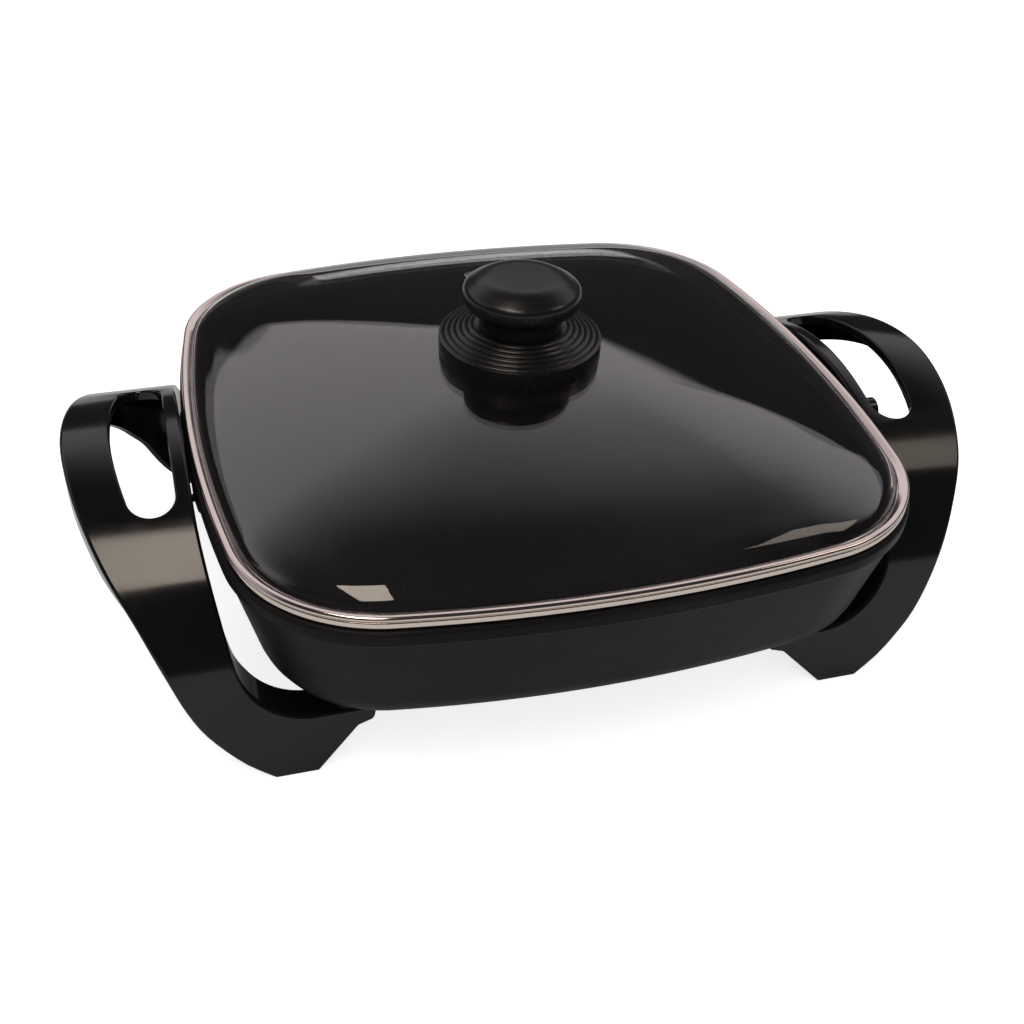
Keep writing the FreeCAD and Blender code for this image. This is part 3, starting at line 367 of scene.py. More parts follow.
# %% [markdown]
# Each finish starts from one Principled BSDF. Its plain numbers, which are the same all over the surface, sit
# on the shader's own sockets, and only what varies from place to place comes from nodes.

# %% Helper that starts a finish
def new_finish(name, **plain):
    """A material with its plain values set, its tree, its shader and the position on the object."""
    material = bpy.data.materials.new(name)
    material.use_nodes = True
    tree = material.node_tree
    shader = tree.nodes["Principled BSDF"]
    for socket, value in plain.items():
        shader.inputs[socket.replace("_", " ")].default_value = value
    where = add_node(tree, "ShaderNodeTexCoord").outputs["Object"]
    return material, tree, shader, where


def place_group(tree, group, where, **values):
    """A shared effect placed in a material."""
    node = add_node(tree, "ShaderNodeGroup", node_tree=group)
    feed(tree, where, node.inputs["Position"])
    for socket, value in values.items():
        feed(tree, value, node.inputs[socket.replace("_", " ")])
    return node.outputs


def add_bump(tree, shader, height, distance, strength=1.0):
    """Relief that is too fine to model, fed to the shader's normal."""
    bump = add_node(tree, "ShaderNodeBump")
    bump.inputs["Distance"].default_value = distance
    bump.inputs["Strength"].default_value = strength
    feed(tree, height, bump.inputs["Height"])
    feed(tree, bump.outputs[0], shader.inputs["Normal"])


finishes = {}

# %% [markdown]
# The pan is cast aluminium with a dark non-stick coating, sprayed on and baked. It is a warm charcoal rather
# than black, matt, with a fine grain that catches the light and very small paler flecks.

# %% Finish of the pan
COATING_DARK = (0.0062, 0.0052, 0.0053, 1.0)
COATING_PALE = (0.0105, 0.0088, 0.0090, 1.0)
FLECK_COLOUR = (0.040, 0.035, 0.034, 1.0)

material, tree, shader, where = new_finish("pan_coating", IOR=1.4, Specular_IOR_Level=0.10)
coat = place_group(tree, sprayed_coat, where, Grain_Scale=900.0, Fleck_Amount=0.35)
colour = mix_colour(tree, coat["Patches"], COATING_DARK, COATING_PALE)
feed(tree, mix_colour(tree, coat["Flecks"], colour, FLECK_COLOUR), shader.inputs["Base Color"])
marks = place_group(tree, wiping_marks, where, Density=70.0, Amount=0.10)
feed(tree, math_node(tree, "ADD", marks["Roughness Change"], 0.38), shader.inputs["Roughness"])
add_bump(tree, shader, coat["Height"], 0.00010, 0.6)
finishes["pan_coating"] = material

# %% [markdown]
# The handles and their feet are phenolic, a hard thermoset that takes a deep black gloss from the polished
# tool. The gloss is not perfect: it is wavy at arm's length, slightly mottled, and carries wiping marks.

# %% Finish of the handles
PHENOLIC_BLACK = (0.0042, 0.0040, 0.0042, 1.0)
PHENOLIC_WORN = (0.0070, 0.0066, 0.0068, 1.0)

material, tree, shader, where = new_finish("handle_phenolic", IOR=1.45, Specular_IOR_Level=0.42)
skin = place_group(tree, moulded_skin, where, Wave_Scale=16.0, Pore_Scale=1500.0)
feed(tree, mix_colour(tree, skin["Mottle"], PHENOLIC_BLACK, PHENOLIC_WORN), shader.inputs["Base Color"])
marks = place_group(tree, wiping_marks, where, Density=45.0, Amount=0.07)
feed(tree, math_node(tree, "ADD", marks["Roughness Change"], 0.10), shader.inputs["Roughness"])
add_bump(tree, shader, skin["Height"], 0.00035, 0.5)
finishes["handle_phenolic"] = material

# %% [markdown]
# The knob is moulded in the same material, from a tool that was blasted rather than polished, so it is a
# shade duller and has a fine even grain.

# %% Finish of the knob
material, tree, shader, where = new_finish("knob_phenolic", IOR=1.45)
skin = place_group(tree, moulded_skin, where, Wave_Scale=60.0, Pore_Scale=1900.0)
feed(tree, mix_colour(tree, skin["Mottle"], PHENOLIC_BLACK, PHENOLIC_WORN), shader.inputs["Base Color"])
marks = place_group(tree, wiping_marks, where, Density=90.0, Amount=0.12)
feed(tree, math_node(tree, "ADD", marks["Roughness Change"], 0.24), shader.inputs["Roughness"])
add_bump(tree, shader, skin["Height"], 0.00012, 0.5)
finishes["knob_phenolic"] = material

# %% [markdown]
# The lid is tempered soda-lime glass. Seen through its face it is clear, and its long way through the edge
# turns it olive. Most of the light that would cast its shadow is let through, so that the pan under it is lit.

# %% Finish of the glass
GLASS_TINT = (0.93, 0.95, 0.91, 1.0)
SHADOW_LET_THROUGH = 0.9

material, tree, shader, where = new_finish(
    "lid_glass", IOR=1.5, Transmission_Weight=1.0, Roughness=0.0)
wipe = place_group(tree, wiping_marks, where, Density=30.0, Amount=0.02)
feed(tree, wipe["Roughness Change"], shader.inputs["Roughness"])
feed(tree, mix_colour(tree, wipe["Smudge"], GLASS_TINT, (0.92, 0.94, 0.90, 1.0)), shader.inputs["Base Color"])
rays = add_node(tree, "ShaderNodeLightPath")
let_through = math_node(tree, "MULTIPLY", rays.outputs["Is Shadow Ray"], SHADOW_LET_THROUGH)
feed(tree, math_node(tree, "SUBTRACT", 1.0, let_through), shader.inputs["Alpha"])
finishes["lid_glass"] = material


# %% [markdown]
# The metals differ in colour and polish: the lid's band is bright stainless steel with a warm cast, the vent's
# eyelet a duller stainless steel, the screws plated steel, the contact pins nickel plated, the insert brass,
# the guard satin aluminium, and the sheath of the heating element a dark, heat-stained tube. What they share
# is one helper: two tones that drift into each other, and a polish that carries marks.

# %% Finishes of the metals
def metal_finish(name, bright, dull, base_roughness, mark_amount, grain_height):
    """A metal whose colour drifts between two tones and whose polish carries marks."""
    material, tree, shader, where = new_finish(name, Metallic=1.0)
    skin = place_group(tree, moulded_skin, where, Wave_Scale=90.0, Pore_Scale=2400.0)
    feed(tree, mix_colour(tree, skin["Mottle"], bright, dull), shader.inputs["Base Color"])
    marks = place_group(tree, wiping_marks, where, Density=160.0, Amount=mark_amount)
    feed(tree, math_node(tree, "ADD", marks["Roughness Change"], base_roughness), shader.inputs["Roughness"])
    add_bump(tree, shader, skin["Height"], grain_height, 0.4)
    finishes[name] = material


metal_finish("rim_steel", (0.70, 0.61, 0.55, 1.0), (0.60, 0.52, 0.46, 1.0), 0.07, 0.08, 0.00002)
metal_finish("eyelet_steel", (0.75, 0.73, 0.70, 1.0), (0.62, 0.60, 0.57, 1.0), 0.20, 0.12, 0.00003)
metal_finish("screw_steel", (0.58, 0.57, 0.55, 1.0), (0.45, 0.44, 0.43, 1.0), 0.26, 0.16, 0.00004)
metal_finish("pin_metal", (0.72, 0.69, 0.63, 1.0), (0.60, 0.57, 0.51, 1.0), 0.18, 0.16, 0.00003)
metal_finish("guard_metal", (0.70, 0.70, 0.69, 1.0), (0.60, 0.60, 0.59, 1.0), 0.30, 0.16, 0.00005)
metal_finish("insert_brass", (0.78, 0.58, 0.27, 1.0), (0.66, 0.47, 0.20, 1.0), 0.25, 0.15, 0.00004)
metal_finish("element_sheath", (0.24, 0.22, 0.20, 1.0), (0.15, 0.13, 0.12, 1.0), 0.42, 0.20, 0.00008)
print("metal finishes:", sorted(finishes))

# %% [markdown]
# Two small dull finishes are left: the fired ceramic that carries the contact pins, and the black silicone
# of the two gaskets that keep the knob from bearing on the glass.

# %% Finishes of the ceramic and the gaskets
material, tree, shader, where = new_finish("pin_ceramic", IOR=1.5)
skin = place_group(tree, moulded_skin, where, Wave_Scale=120.0, Pore_Scale=1600.0)
feed(tree, mix_colour(tree, skin["Mottle"], (0.80, 0.77, 0.70, 1.0), (0.72, 0.68, 0.60, 1.0)),
     shader.inputs["Base Color"])
feed(tree, ramp(tree, skin["Mottle"], 0.2, 0.8, 0.42, 0.55), shader.inputs["Roughness"])
add_bump(tree, shader, skin["Height"], 0.00008, 0.5)
finishes["pin_ceramic"] = material

material, tree, shader, where = new_finish("gasket_rubber", IOR=1.41)
skin = place_group(tree, moulded_skin, where, Wave_Scale=200.0, Pore_Scale=2200.0)
feed(tree, mix_colour(tree, skin["Mottle"], (0.012, 0.012, 0.012, 1.0), (0.020, 0.020, 0.020, 1.0)),
     shader.inputs["Base Color"])
feed(tree, ramp(tree, skin["Mottle"], 0.2, 0.8, 0.55, 0.68), shader.inputs["Roughness"])
add_bump(tree, shader, skin["Height"], 0.00006, 0.5)
finishes["gasket_rubber"] = material
print("finishes:", len(finishes))


# %% [markdown]
# The engineering model's meshes are loose triangles, which shade flat. Where such a piece already has the
# right form, a copy is made, its doubled points are merged, and it is shaded smooth across gentle edges only.

# %% Helper that smooths a copy of a model piece
MERGE_DISTANCE = 0.002 * MM
SMOOTH_ANGLE = math.radians(32)


def finish_piece(piece, node, body, finish):
    """Give a finished piece its material, its body and the model piece it stands for."""
    piece.data.materials.clear()
    piece.data.materials.append(finishes[finish])
    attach(piece, body)
    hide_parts(node)


def smooth_copy(node):
    """A merged copy of a model piece."""
    source = frame["nodes"][node]
    piece = bpy.data.objects.new(node + "_dressed", source.data.copy())
    bpy.context.scene.collection.objects.link(piece)
    bpy.ops.object.select_all(action="DESELECT")
    piece.select_set(True)
    bpy.context.view_layer.objects.active = piece
    bpy.ops.object.mode_set(mode="EDIT")
    bpy.ops.mesh.select_all(action="SELECT")
    bpy.ops.mesh.remove_doubles(threshold=MERGE_DISTANCE)
    bpy.ops.object.mode_set(mode="OBJECT")
    bpy.ops.object.shade_smooth_by_angle(angle=SMOOTH_ANGLE)
    return piece


# %% [markdown]
# Most of the big pieces are a section carried along a path: the pan and the lid's band are the same section
# all the way round the plan. So the first tool is a pencil: one point is extruded from corner to corner, and
# the corners that are round on the real piece are bevelled. With no window, a spin turns the other way, so
# its direction is a named value.

# %% Helpers for drawing a section
SPIN_DIRECTION = -1
ARC_STEP = 11.0
NEAR = 0.002 * MM


def select_where(piece, kind, test):
    """Select the points, edges or faces of a piece in edit mode that pass a test."""
    bpy.ops.mesh.select_mode(type={"verts": "VERT", "edges": "EDGE", "faces": "FACE"}[kind])
    bpy.ops.mesh.select_all(action="DESELECT")
    mesh = bmesh.from_edit_mesh(piece.data)
    chosen = [part for part in getattr(mesh, kind) if test(part)]
    for part in chosen:
        part.select_set(True)
    mesh.select_flush_mode()
    bmesh.update_edit_mesh(piece.data)
    return len(chosen)


def start_piece(name, place):
    """A new piece in edit mode that is a single point."""
    bpy.ops.object.select_all(action="DESELECT")
    bpy.ops.mesh.primitive_plane_add(size=MM, location=place)
    bpy.ops.object.transform_apply(location=True)
    bpy.context.object.name = name
    bpy.ops.object.mode_set(mode="EDIT")
    bpy.ops.mesh.select_mode(type="VERT")
    bpy.ops.mesh.select_all(action="SELECT")
    bpy.ops.mesh.merge(type="CENTER")
    return bpy.context.object


def draw_section(name, corners, closed=True, flat=False):
    """Edges through (across, up, rounding) corners in millimetres, standing in XZ or lying flat in XY."""
    if flat:
        spots = [Vector((corner[0], corner[1], 0)) * MM for corner in corners]
    else:
        spots = [Vector((corner[0], 0, corner[1])) * MM for corner in corners]
    piece = start_piece(name, spots[0])
    for here, there in zip(spots, spots[1:]):
        bpy.ops.mesh.extrude_vertices_move(TRANSFORM_OT_translate={"value": there - here})
    if closed:
        ends = (spots[0], spots[-1])
        select_where(piece, "verts", lambda point: min((point.co - end).length for end in ends) < NEAR)
        bpy.ops.mesh.edge_face_add()
    for i, corner in enumerate(corners):
        if len(corner) < 3:
            continue
        back = spots[i - 1] - spots[i]
        ahead = spots[(i + 1) % len(spots)] - spots[i]
        turn = math.pi - back.angle(ahead)
        select_where(piece, "verts", lambda point: (point.co - spots[i]).length < NEAR)
        bpy.ops.mesh.bevel(
            offset=corner[2] * MM * math.tan(turn / 2), offset_type="OFFSET", affect="VERTICES",
            segments=max(2, math.ceil(math.degrees(turn) / ARC_STEP)), clamp_overlap=False)
    bpy.ops.mesh.select_all(action="SELECT")
    return piece


def close_up(piece, smooth=32):
    """Merge doubled points, turn all faces outwards and shade the gentle edges smooth."""
    if piece.mode != "EDIT":
        bpy.ops.object.mode_set(mode="EDIT")
    bpy.ops.mesh.select_mode(type="VERT")
    bpy.ops.mesh.select_all(action="SELECT")
    bpy.ops.mesh.remove_doubles(threshold=NEAR)
    bpy.ops.mesh.normals_make_consistent(inside=False)
    bpy.ops.object.mode_set(mode="OBJECT")
    bpy.ops.object.shade_smooth_by_angle(angle=math.radians(smooth))
    print(piece.name, "has", len(piece.data.polygons), "faces")
    return piece


def apply_modifier(piece, kind, **settings):
    """Add a modifier to the active piece and apply it."""
    if piece.mode == "EDIT":
        bpy.ops.object.mode_set(mode="OBJECT")
    bpy.context.view_layer.objects.active = piece
    modifier = piece.modifiers.new("step", kind)
    for name, value in settings.items():
        setattr(modifier, name, value)
    bpy.ops.object.modifier_apply(modifier=modifier.name)


# %% [markdown]
# The plan is all arcs, so a section can be carried round it by spinning alone: through half a side, a corner
# and half a side, which is a quarter of the way, and two mirrors finish it. A curve with the section as its
# bevel could do it too, but every point of a spin lies on its arc exactly.

# %% Helpers that sweep a section round the plan
SIDE_STEPS = 10
CORNER_STEPS = 28


def spin_quarter(scale=1.0):
    """Spin what is selected round a quarter of the plan, from the middle of one side to the next."""
    corner = CORNER_CENTRE * scale
    side = SIDE_CENTRE * scale
    for angle, centre, steps in ((SIDE_SWING, (side, 0, 0), SIDE_STEPS),
                                 (CORNER_SWING, (corner, corner, 0), CORNER_STEPS),
                                 (SIDE_SWING, (0, side, 0), SIDE_STEPS)):
        bpy.ops.mesh.spin(steps=steps, angle=SPIN_DIRECTION * angle, center=centre, axis=(0, 0, 1))


def mirror_quarter(piece):
    """The other three quarters."""
    apply_modifier(piece, "MIRROR", use_axis=(True, True, False), merge_threshold=2 * NEAR)


def fill_level(piece, height):
    """Close the open loop of edges at one height with a face."""
    bpy.ops.object.mode_set(mode="EDIT")
    select_where(piece, "edges", lambda edge: edge.is_boundary and all(
        abs(point.co.z - height * MM) < NEAR for point in edge.verts))
    bpy.ops.mesh.edge_face_add()
    bpy.ops.object.mode_set(mode="OBJECT")


print("a side swings", round(math.degrees(SIDE_SWING), 3), "degrees either way")

# %% [markdown]
# The pan is one casting: a thin floor, a wall that leans out and a lip with a step inside that the lid drops
# into. Its section is drawn from the middle of the underside out to the lip and back in along the floor. The
# spin leaves the two floors open, and one flat face closes each.

# %% Pan
BASE_UNDER = 38
FLOOR_TOP = 43.5
WALL_TURN = 26
WALL_LEAN = math.tan(math.radians(15))
INSIDE = 3.8 / math.cos(math.radians(15))


def wall_line(height):
    """How far out the pan's leaning wall is at a height."""
    return 159.3 - (97 - height) * WALL_LEAN


pan = draw_section("pan", [
    (100, BASE_UNDER),
    (wall_line(BASE_UNDER), BASE_UNDER, WALL_TURN),
    (wall_line(98), 98, 2.0),
    (161.3, 99.6, 0.8),
    (161.3, 106, 2.2),
    (156.8, 106, 0.6),
    (156.8, 100.2, 0.3),
    (152.4, 100.2, 0.8),
    (152.4, 86, 20),
    (wall_line(FLOOR_TOP) - INSIDE, FLOOR_TOP, WALL_TURN - 3.8),
    (100, FLOOR_TOP),
], closed=False)
spin_quarter()
mirror_quarter(pan)
fill_level(pan, BASE_UNDER)
fill_level(pan, FLOOR_TOP)
close_up(pan)

# %% [markdown]
# Below and beside the pan, small features are cast on: two ears that the straps are screwed to, a rib that
# holds the heating element, a block that the control's socket is screwed to, and four bosses for the arms.
# Each is a prism of its own that runs a little way into the pan, which is how a casting would be drawn too.

# %% Features cast onto the pan
def prism(name, corners, start, length, along):
    """A closed section filled and pushed along Y or Z."""
    piece = draw_section(name, corners, flat=along == "Z")
    bpy.ops.mesh.edge_face_add()
    step = {"Y": Vector((0, length, 0)), "Z": Vector((0, 0, length))}[along] * MM
    bpy.ops.transform.translate(value=step * (start / length))
    bpy.ops.mesh.extrude_region_move(TRANSFORM_OT_translate={"value": step})
    return close_up(piece)


def join_into(piece, others):
    """Join finished pieces into one."""
    bpy.ops.object.select_all(action="DESELECT")
    for other in others:
        other.select_set(True)
    piece.select_set(True)
    bpy.context.view_layer.objects.active = piece
    bpy.ops.object.join()
    return piece


EAR_TOP, EAR_FOOT, EAR_HALF = 99.5, 90, 36
BLOCK_BACK, BLOCK_FRONT, BLOCK_HALF, BLOCK_UNDER, BLOCK_HEIGHT = 98, 146, 24, 27.5, 15.5
ARM_SCREW_X, ARM_SCREW_Y = 107, 105
BOSS_RADIUS, BOSS_LENGTH, BOSS_MIDDLE = 7, 11, 33.5
cast_on = []
for side in (-1, 1):
    cast_on.append(prism("ear", [
        (side * 152, EAR_TOP), (side * 161.2, EAR_TOP, 0.8), (side * 159.7, EAR_FOOT, 2),
        (side * 154.5, 85, 3), (side * 152, 85)], -EAR_HALF, 2 * EAR_HALF, "Y"))
cast_on.append(prism("inlet_block", [
    (BLOCK_BACK, -BLOCK_HALF, 4), (BLOCK_FRONT, -BLOCK_HALF, 3),
    (BLOCK_FRONT, BLOCK_HALF, 3), (BLOCK_BACK, BLOCK_HALF, 4)], BLOCK_UNDER, BLOCK_HEIGHT, "Z"))
for x in (-ARM_SCREW_X, ARM_SCREW_X):
    for y in (-ARM_SCREW_Y, ARM_SCREW_Y):
        bpy.ops.object.select_all(action="DESELECT")
        bpy.ops.mesh.primitive_cylinder_add(
            vertices=40, radius=BOSS_RADIUS * MM, depth=BOSS_LENGTH * MM,
            location=(x * MM, y * MM, BOSS_MIDDLE * MM))
        bpy.ops.object.transform_apply(location=True)
        bpy.ops.object.mode_set(mode="EDIT")
        cast_on.append(close_up(bpy.context.object))

ELEMENT_HALF, PIN_Y = 92, 14.5
RIB_UNDER, RIB_HEIGHT, RIB_WIDTH = 33, 5.5, 13


def element_route(end):
    """The corners of the heating element's loop, seen from above."""
    half = ELEMENT_HALF
    return [(end, -PIN_Y), (half, -PIN_Y, 12), (half, -half, 45), (-half, -half, 45),
            (-half, half, 45), (half, half, 45), (half, PIN_Y, 12), (end, PIN_Y)]


rib = draw_section("element_rib", element_route(126), closed=False, flat=True)
bpy.ops.transform.translate(value=(0, 0, RIB_UNDER * MM))
bpy.ops.mesh.extrude_region_move(TRANSFORM_OT_translate={"value": (0, 0, RIB_HEIGHT * MM)})
apply_modifier(rib, "SOLIDIFY", thickness=RIB_WIDTH * MM, offset=0.0)
bpy.ops.object.mode_set(mode="EDIT")
cast_on.append(close_up(rib))
join_into(pan, cast_on)
finish_piece(pan, "pan_body", "base", "pan_coating")

# %% [markdown]
# The lid's band is rolled from one strip of stainless steel: a round bead along the top, a narrow groove, a
# slightly bulged face, and a skirt that drops inside the pan's lip. Its bright and dark lines in the picture
# are all made by that section, so it is drawn with more care than its size suggests.

# %% Band of the lid
band = draw_section("rim_band_dressed", [
    (159.3, 106.5, 0.6),
    (160.0, 108.3, 3.0),
    (159.5, 109.9, 0.5),
    (158.7, 110.15, 0.1),
    (159.9, 110.8, 0.8),
    (159.4, 112.5, 1.1),
    (157.2, 112.3, 1.5),
    (155, 111.5, 0.3),
    (155, 111.2),
    (158.2, 111.2, 0.2),
    (158.2, 107.7),
    (154, 107.7, 0.6),
    (154, 101.2),
    (155, 101.2),
    (155, 106.5),
])
spin_quarter()
mirror_quarter(band)
close_up(band, 40)
finish_piece(band, "rim_band", "lid", "rim_steel")

# %% [markdown]
# The glass was pressed in one piece: it stands steep at its edge and then flattens into a low dome. Every
# level line on it is the plan at a smaller scale, so one arc of the plan is extruded and shrunk, level by
# level, up the inside, round the foot and up the outside. The levels are read off a smooth curve, because the
# eye finds the least ripple in glass.

# %% Glass of the lid
def smooth_chain(stations, steps):
    """Points on a smooth curve through the stations, a number of steps for each stretch."""
    points = [Vector(station) for station in stations]
    points = [2 * points[0] - points[1]] + points + [2 * points[-1] - points[-2]]
    chain = []
    for before, here, there, after in zip(points, points[1:], points[2:], points[3:]):
        gap = (there - here).length
        leave = ((here - before) / (here - before).length + (there - here) / gap) * gap / 2
        arrive = ((there - here) / gap + (after - there) / (after - there).length) * gap / 2
        for step in range(steps):
            t = step / steps
            chain.append(here * (2 * t**3 - 3 * t**2 + 1) + leave * (t**3 - 2 * t**2 + t)
                         + there * (3 * t**2 - 2 * t**3) + arrive * (t**3 - t**2))
    chain.append(points[-2])
    return [tuple(point) for point in chain]


GLASS_OUTSIDE = [(155.2, 111.2), (153.8, 113.6), (149.6, 116.7), (140, 120), (115, 125.4),
                 (80, 130.3), (45, 133.6), (18, 135)]
GLASS_INSIDE = [(152.4, 109.8), (150.6, 111.8), (146.8, 113.7), (138, 116.2), (114, 121.5),
                (79, 126.3), (45, 129.6), (18, 131)]
levels = smooth_chain(GLASS_INSIDE, 4)[::-1] + [(152.6, 107.7), (158.4, 107.7), (158.4, 110.9)]
levels += smooth_chain(GLASS_OUTSIDE, 4)

half, rise = levels[0]
glass = start_piece("glass_dressed", (half * MM, 0, rise * MM))
spin_quarter(half / 160)
bpy.ops.mesh.select_all(action="SELECT")
for next_half, next_rise in levels[1:]:
    bpy.ops.mesh.extrude_region_move(TRANSFORM_OT_translate={"value": (0, 0, (next_rise - rise) * MM)})
    bpy.ops.transform.resize(value=(next_half / half, next_half / half, 1), center_override=(0, 0, 0))
    half, rise = next_half, next_rise
mirror_quarter(glass)
fill_level(glass, 131)
fill_level(glass, 135)
close_up(glass, 40)


def cutter(name, radius, depth, place, tilt=0.0, axis="X", vertices=48):
    """A cylinder to cut with or to add."""
    bpy.ops.object.select_all(action="DESELECT")
    turn = {"X": (tilt, 0, 0), "Y": (0, tilt, 0)}[axis]
    bpy.ops.mesh.primitive_cylinder_add(
        vertices=vertices, radius=radius * MM, depth=depth * MM, location=[value * MM for value in place],
        rotation=turn)
    bpy.ops.object.transform_apply(location=True, rotation=True)
    bpy.context.object.name = name
    return bpy.context.object


def combine(piece, others, operation):
    """Cut other shapes out of a piece, or add them, and delete them."""
    for other in others:
        bpy.ops.object.select_all(action="DESELECT")
        piece.select_set(True)
        apply_modifier(piece, "BOOLEAN", operation=operation, object=other, solver="EXACT")
        bpy.data.objects.remove(other)


combine(glass, [cutter("knob_hole", 3.4, 20, (0, 0, 133)),
                cutter("vent_hole", 3.1, 20, (3, 93, 128.5), math.radians(-8))], "DIFFERENCE")
bpy.context.view_layer.objects.active = glass
close_up(glass, 40)
finish_piece(glass, "lid_glass", "lid", "lid_glass")

# %% [markdown]
# A handle is one deep moulding: seen from the side an arch with two leaning legs, seen from above a strap
# with a hand hole, and hollow underneath like a channel. Bent sheets of this kind are hard to model in place
# but easy to model flat, so half a handle is drawn unrolled, as a plate whose length is measured along the
# outside of the arch. It is hollowed and rounded while it is flat, then sliced finely and bent.

# %% Arch of the handle
CROWN_TOP, CROWN_RADIUS, SHOULDER_RADIUS = 113.7, 145.0, 76.0
LEG_LEAN = math.radians(14.5)
FOOT_FRONT = 119.6
ARCH_DEPTH, ARCH_WALL, COLLAR_DEPTH = 16.0, 2.6, 4.5

crown_height = CROWN_TOP - CROWN_RADIUS
leg_along = Vector((math.sin(LEG_LEAN), math.cos(LEG_LEAN)))
leg_inward = Vector((math.cos(LEG_LEAN), -math.sin(LEG_LEAN)))
start = Vector((-FOOT_FRONT, 0)) + leg_inward * SHOULDER_RADIUS - Vector((0, crown_height))
half_run = start.dot(leg_along)
gap = CROWN_RADIUS - SHOULDER_RADIUS
run = -half_run + math.sqrt(half_run**2 - start.dot(start) + gap**2)
shoulder = start + leg_along * run
CROWN_TURN = math.atan2(-shoulder.x, shoulder.y)
shoulder_middle = shoulder + Vector((0, crown_height))
KNEE_TURN = math.radians(90) - LEG_LEAN
CROWN_END = CROWN_RADIUS * CROWN_TURN
SHOULDER_END = CROWN_END + SHOULDER_RADIUS * (KNEE_TURN - CROWN_TURN)
knee = shoulder_middle + SHOULDER_RADIUS * Vector((-math.sin(KNEE_TURN), math.cos(KNEE_TURN)))
FOOT_END = SHOULDER_END + knee.y / math.cos(LEG_LEAN)


def arch_point(run, deep=0.0):
    """Where a place on the unrolled arch lies, as (distance from the middle, height)."""
    if run < CROWN_END:
        turn, hub, radius = run / CROWN_RADIUS, Vector((0, crown_height)), CROWN_RADIUS
    elif run < SHOULDER_END:
        turn = CROWN_TURN + (run - CROWN_END) / SHOULDER_RADIUS
        hub, radius = shoulder_middle, SHOULDER_RADIUS
    else:
        along = Vector((-math.sin(LEG_LEAN), -math.cos(LEG_LEAN))) * (run - SHOULDER_END)
        return knee + along - Vector((-math.sin(KNEE_TURN), math.cos(KNEE_TURN))) * deep
    return hub + Vector((-math.sin(turn), math.cos(turn))) * (radius - deep)


def run_at_height(height):
    """How far along the unrolled arch a height is."""
    if height < knee.y:
        return FOOT_END - height / math.cos(LEG_LEAN)
    if height > crown_height + CROWN_RADIUS * math.cos(CROWN_TURN):
        return math.acos(min(1.0, (height - crown_height) / CROWN_RADIUS)) * CROWN_RADIUS
    turn = math.acos((height - shoulder_middle.y) / SHOULDER_RADIUS)
    return CROWN_END + (turn - CROWN_TURN) * SHOULDER_RADIUS


print("unrolled: crown", round(CROWN_END, 1), "shoulder", round(SHOULDER_END, 1), "foot", round(FOOT_END, 1))

# %% [markdown]
# The strap's outer edge bows in as it comes down, and was measured as its reach at a dozen angles round the
# arch. Its inner edge follows the pan, leaning in below the rim, and then runs out along the arm. Both are
# carried onto the unrolled plate point by point.

# %% Outline of the unrolled plate
ARCH_HUB = 20.0
EDGE_STATIONS = [(-15, 215.0), (0, 216.6), (15, 215.0), (30, 210.8), (45, 203.2), (60, 191.7), (72, 183.0),
                 (80, 177.2), (86, 171.2), (91, 163.4), (95.5, 154.2), (99.5, 142.0), (104, 126.0)]
edge_curve = smooth_chain(EDGE_STATIONS, 12)


def edge_reach(run):
    """How far out the strap's outer edge is at a place along the arch."""
    point = arch_point(run)
    angle = math.degrees(math.atan2(-point.x, point.y - ARCH_HUB))
    for (low, near), (high, far) in zip(edge_curve, edge_curve[1:]):
        if angle <= high:
            return near + (far - near) * (angle - low) / (high - low)
    return edge_curve[-1][1]


LONGEST_RUN = 4.0


def rounded_path(corners, step=10.0):
    """Points along straight runs whose corners (across, up, rounding) are rounded."""
    points = [Vector(corners[0][:2])]
    for before, here, after in zip(corners, corners[1:], corners[2:]):
        spot = Vector(here[:2])
        back = (Vector(before[:2]) - spot).normalized()
        ahead = (Vector(after[:2]) - spot).normalized()
        turn = math.pi - back.angle(ahead)
        radius = here[2] if len(here) > 2 else 0
        if radius == 0:
            points.append(spot)
            continue
        first = spot + back * radius * math.tan(turn / 2)
        hub = spot + (back + ahead).normalized() * radius / math.cos(turn / 2)
        sign = 1 if back.x * ahead.y - back.y * ahead.x < 0 else -1
        count = max(2, math.ceil(math.degrees(turn) / step))
        for i in range(count + 1):
            angle = sign * turn * i / count
            arm = first - hub
            points.append(hub + Vector((arm.x * math.cos(angle) - arm.y * math.sin(angle),
                                        arm.x * math.sin(angle) + arm.y * math.cos(angle))))
    points.append(Vector(corners[-1][:2]))
    fine = [points[0]]
    for here, there in zip(points, points[1:]):
        pieces = max(1, math.ceil((there - here).length / LONGEST_RUN))
        fine += [here.lerp(there, i / pieces) for i in range(1, pieces + 1)]
    return fine


SOLID_ARM = 124.0
STRAP_FACE = 161.8


def plate_outline(inset):
    """The outline of half a plate, or of its hollow, as (across, along) points."""
    inner = [(STRAP_FACE + inset, 113.6), (STRAP_FACE + inset, 102, 60),
             (149.7 + inset, 28 - inset, 33 + inset)]
    if inset:
        inner += [(112, 28 - inset), (112, 3), (150, 3)]
    else:
        inner += [(94.06, 28), (96, 21, 3), (103.3, 18.9, 3), (122.7, 0)]
    path = [(point.x, run_at_height(point.y)) for point in rounded_path(inner, 5.0)]
    path = [(path[0][0], -6.0)] + [point for point in path if point[1] > 16]
    if inset:
        path = [point for point in path if point[0] > SOLID_ARM]
        turn = next(i for i, point in enumerate(path) if point[1] > run_at_height(5))
        path[turn:turn] = [(SOLID_ARM, path[turn - 1][1]), (SOLID_ARM, path[turn][1])]
    last = path[-1][1]
    count = 44
    outer = [(edge_reach(abs(run)) - inset, run) for run in
             (last + (-6.0 - last) * i / count for i in range(count + 1))]
    return [point for point in path if point[0] < outer[0][0] - 1 or point[1] < last - 1] + outer


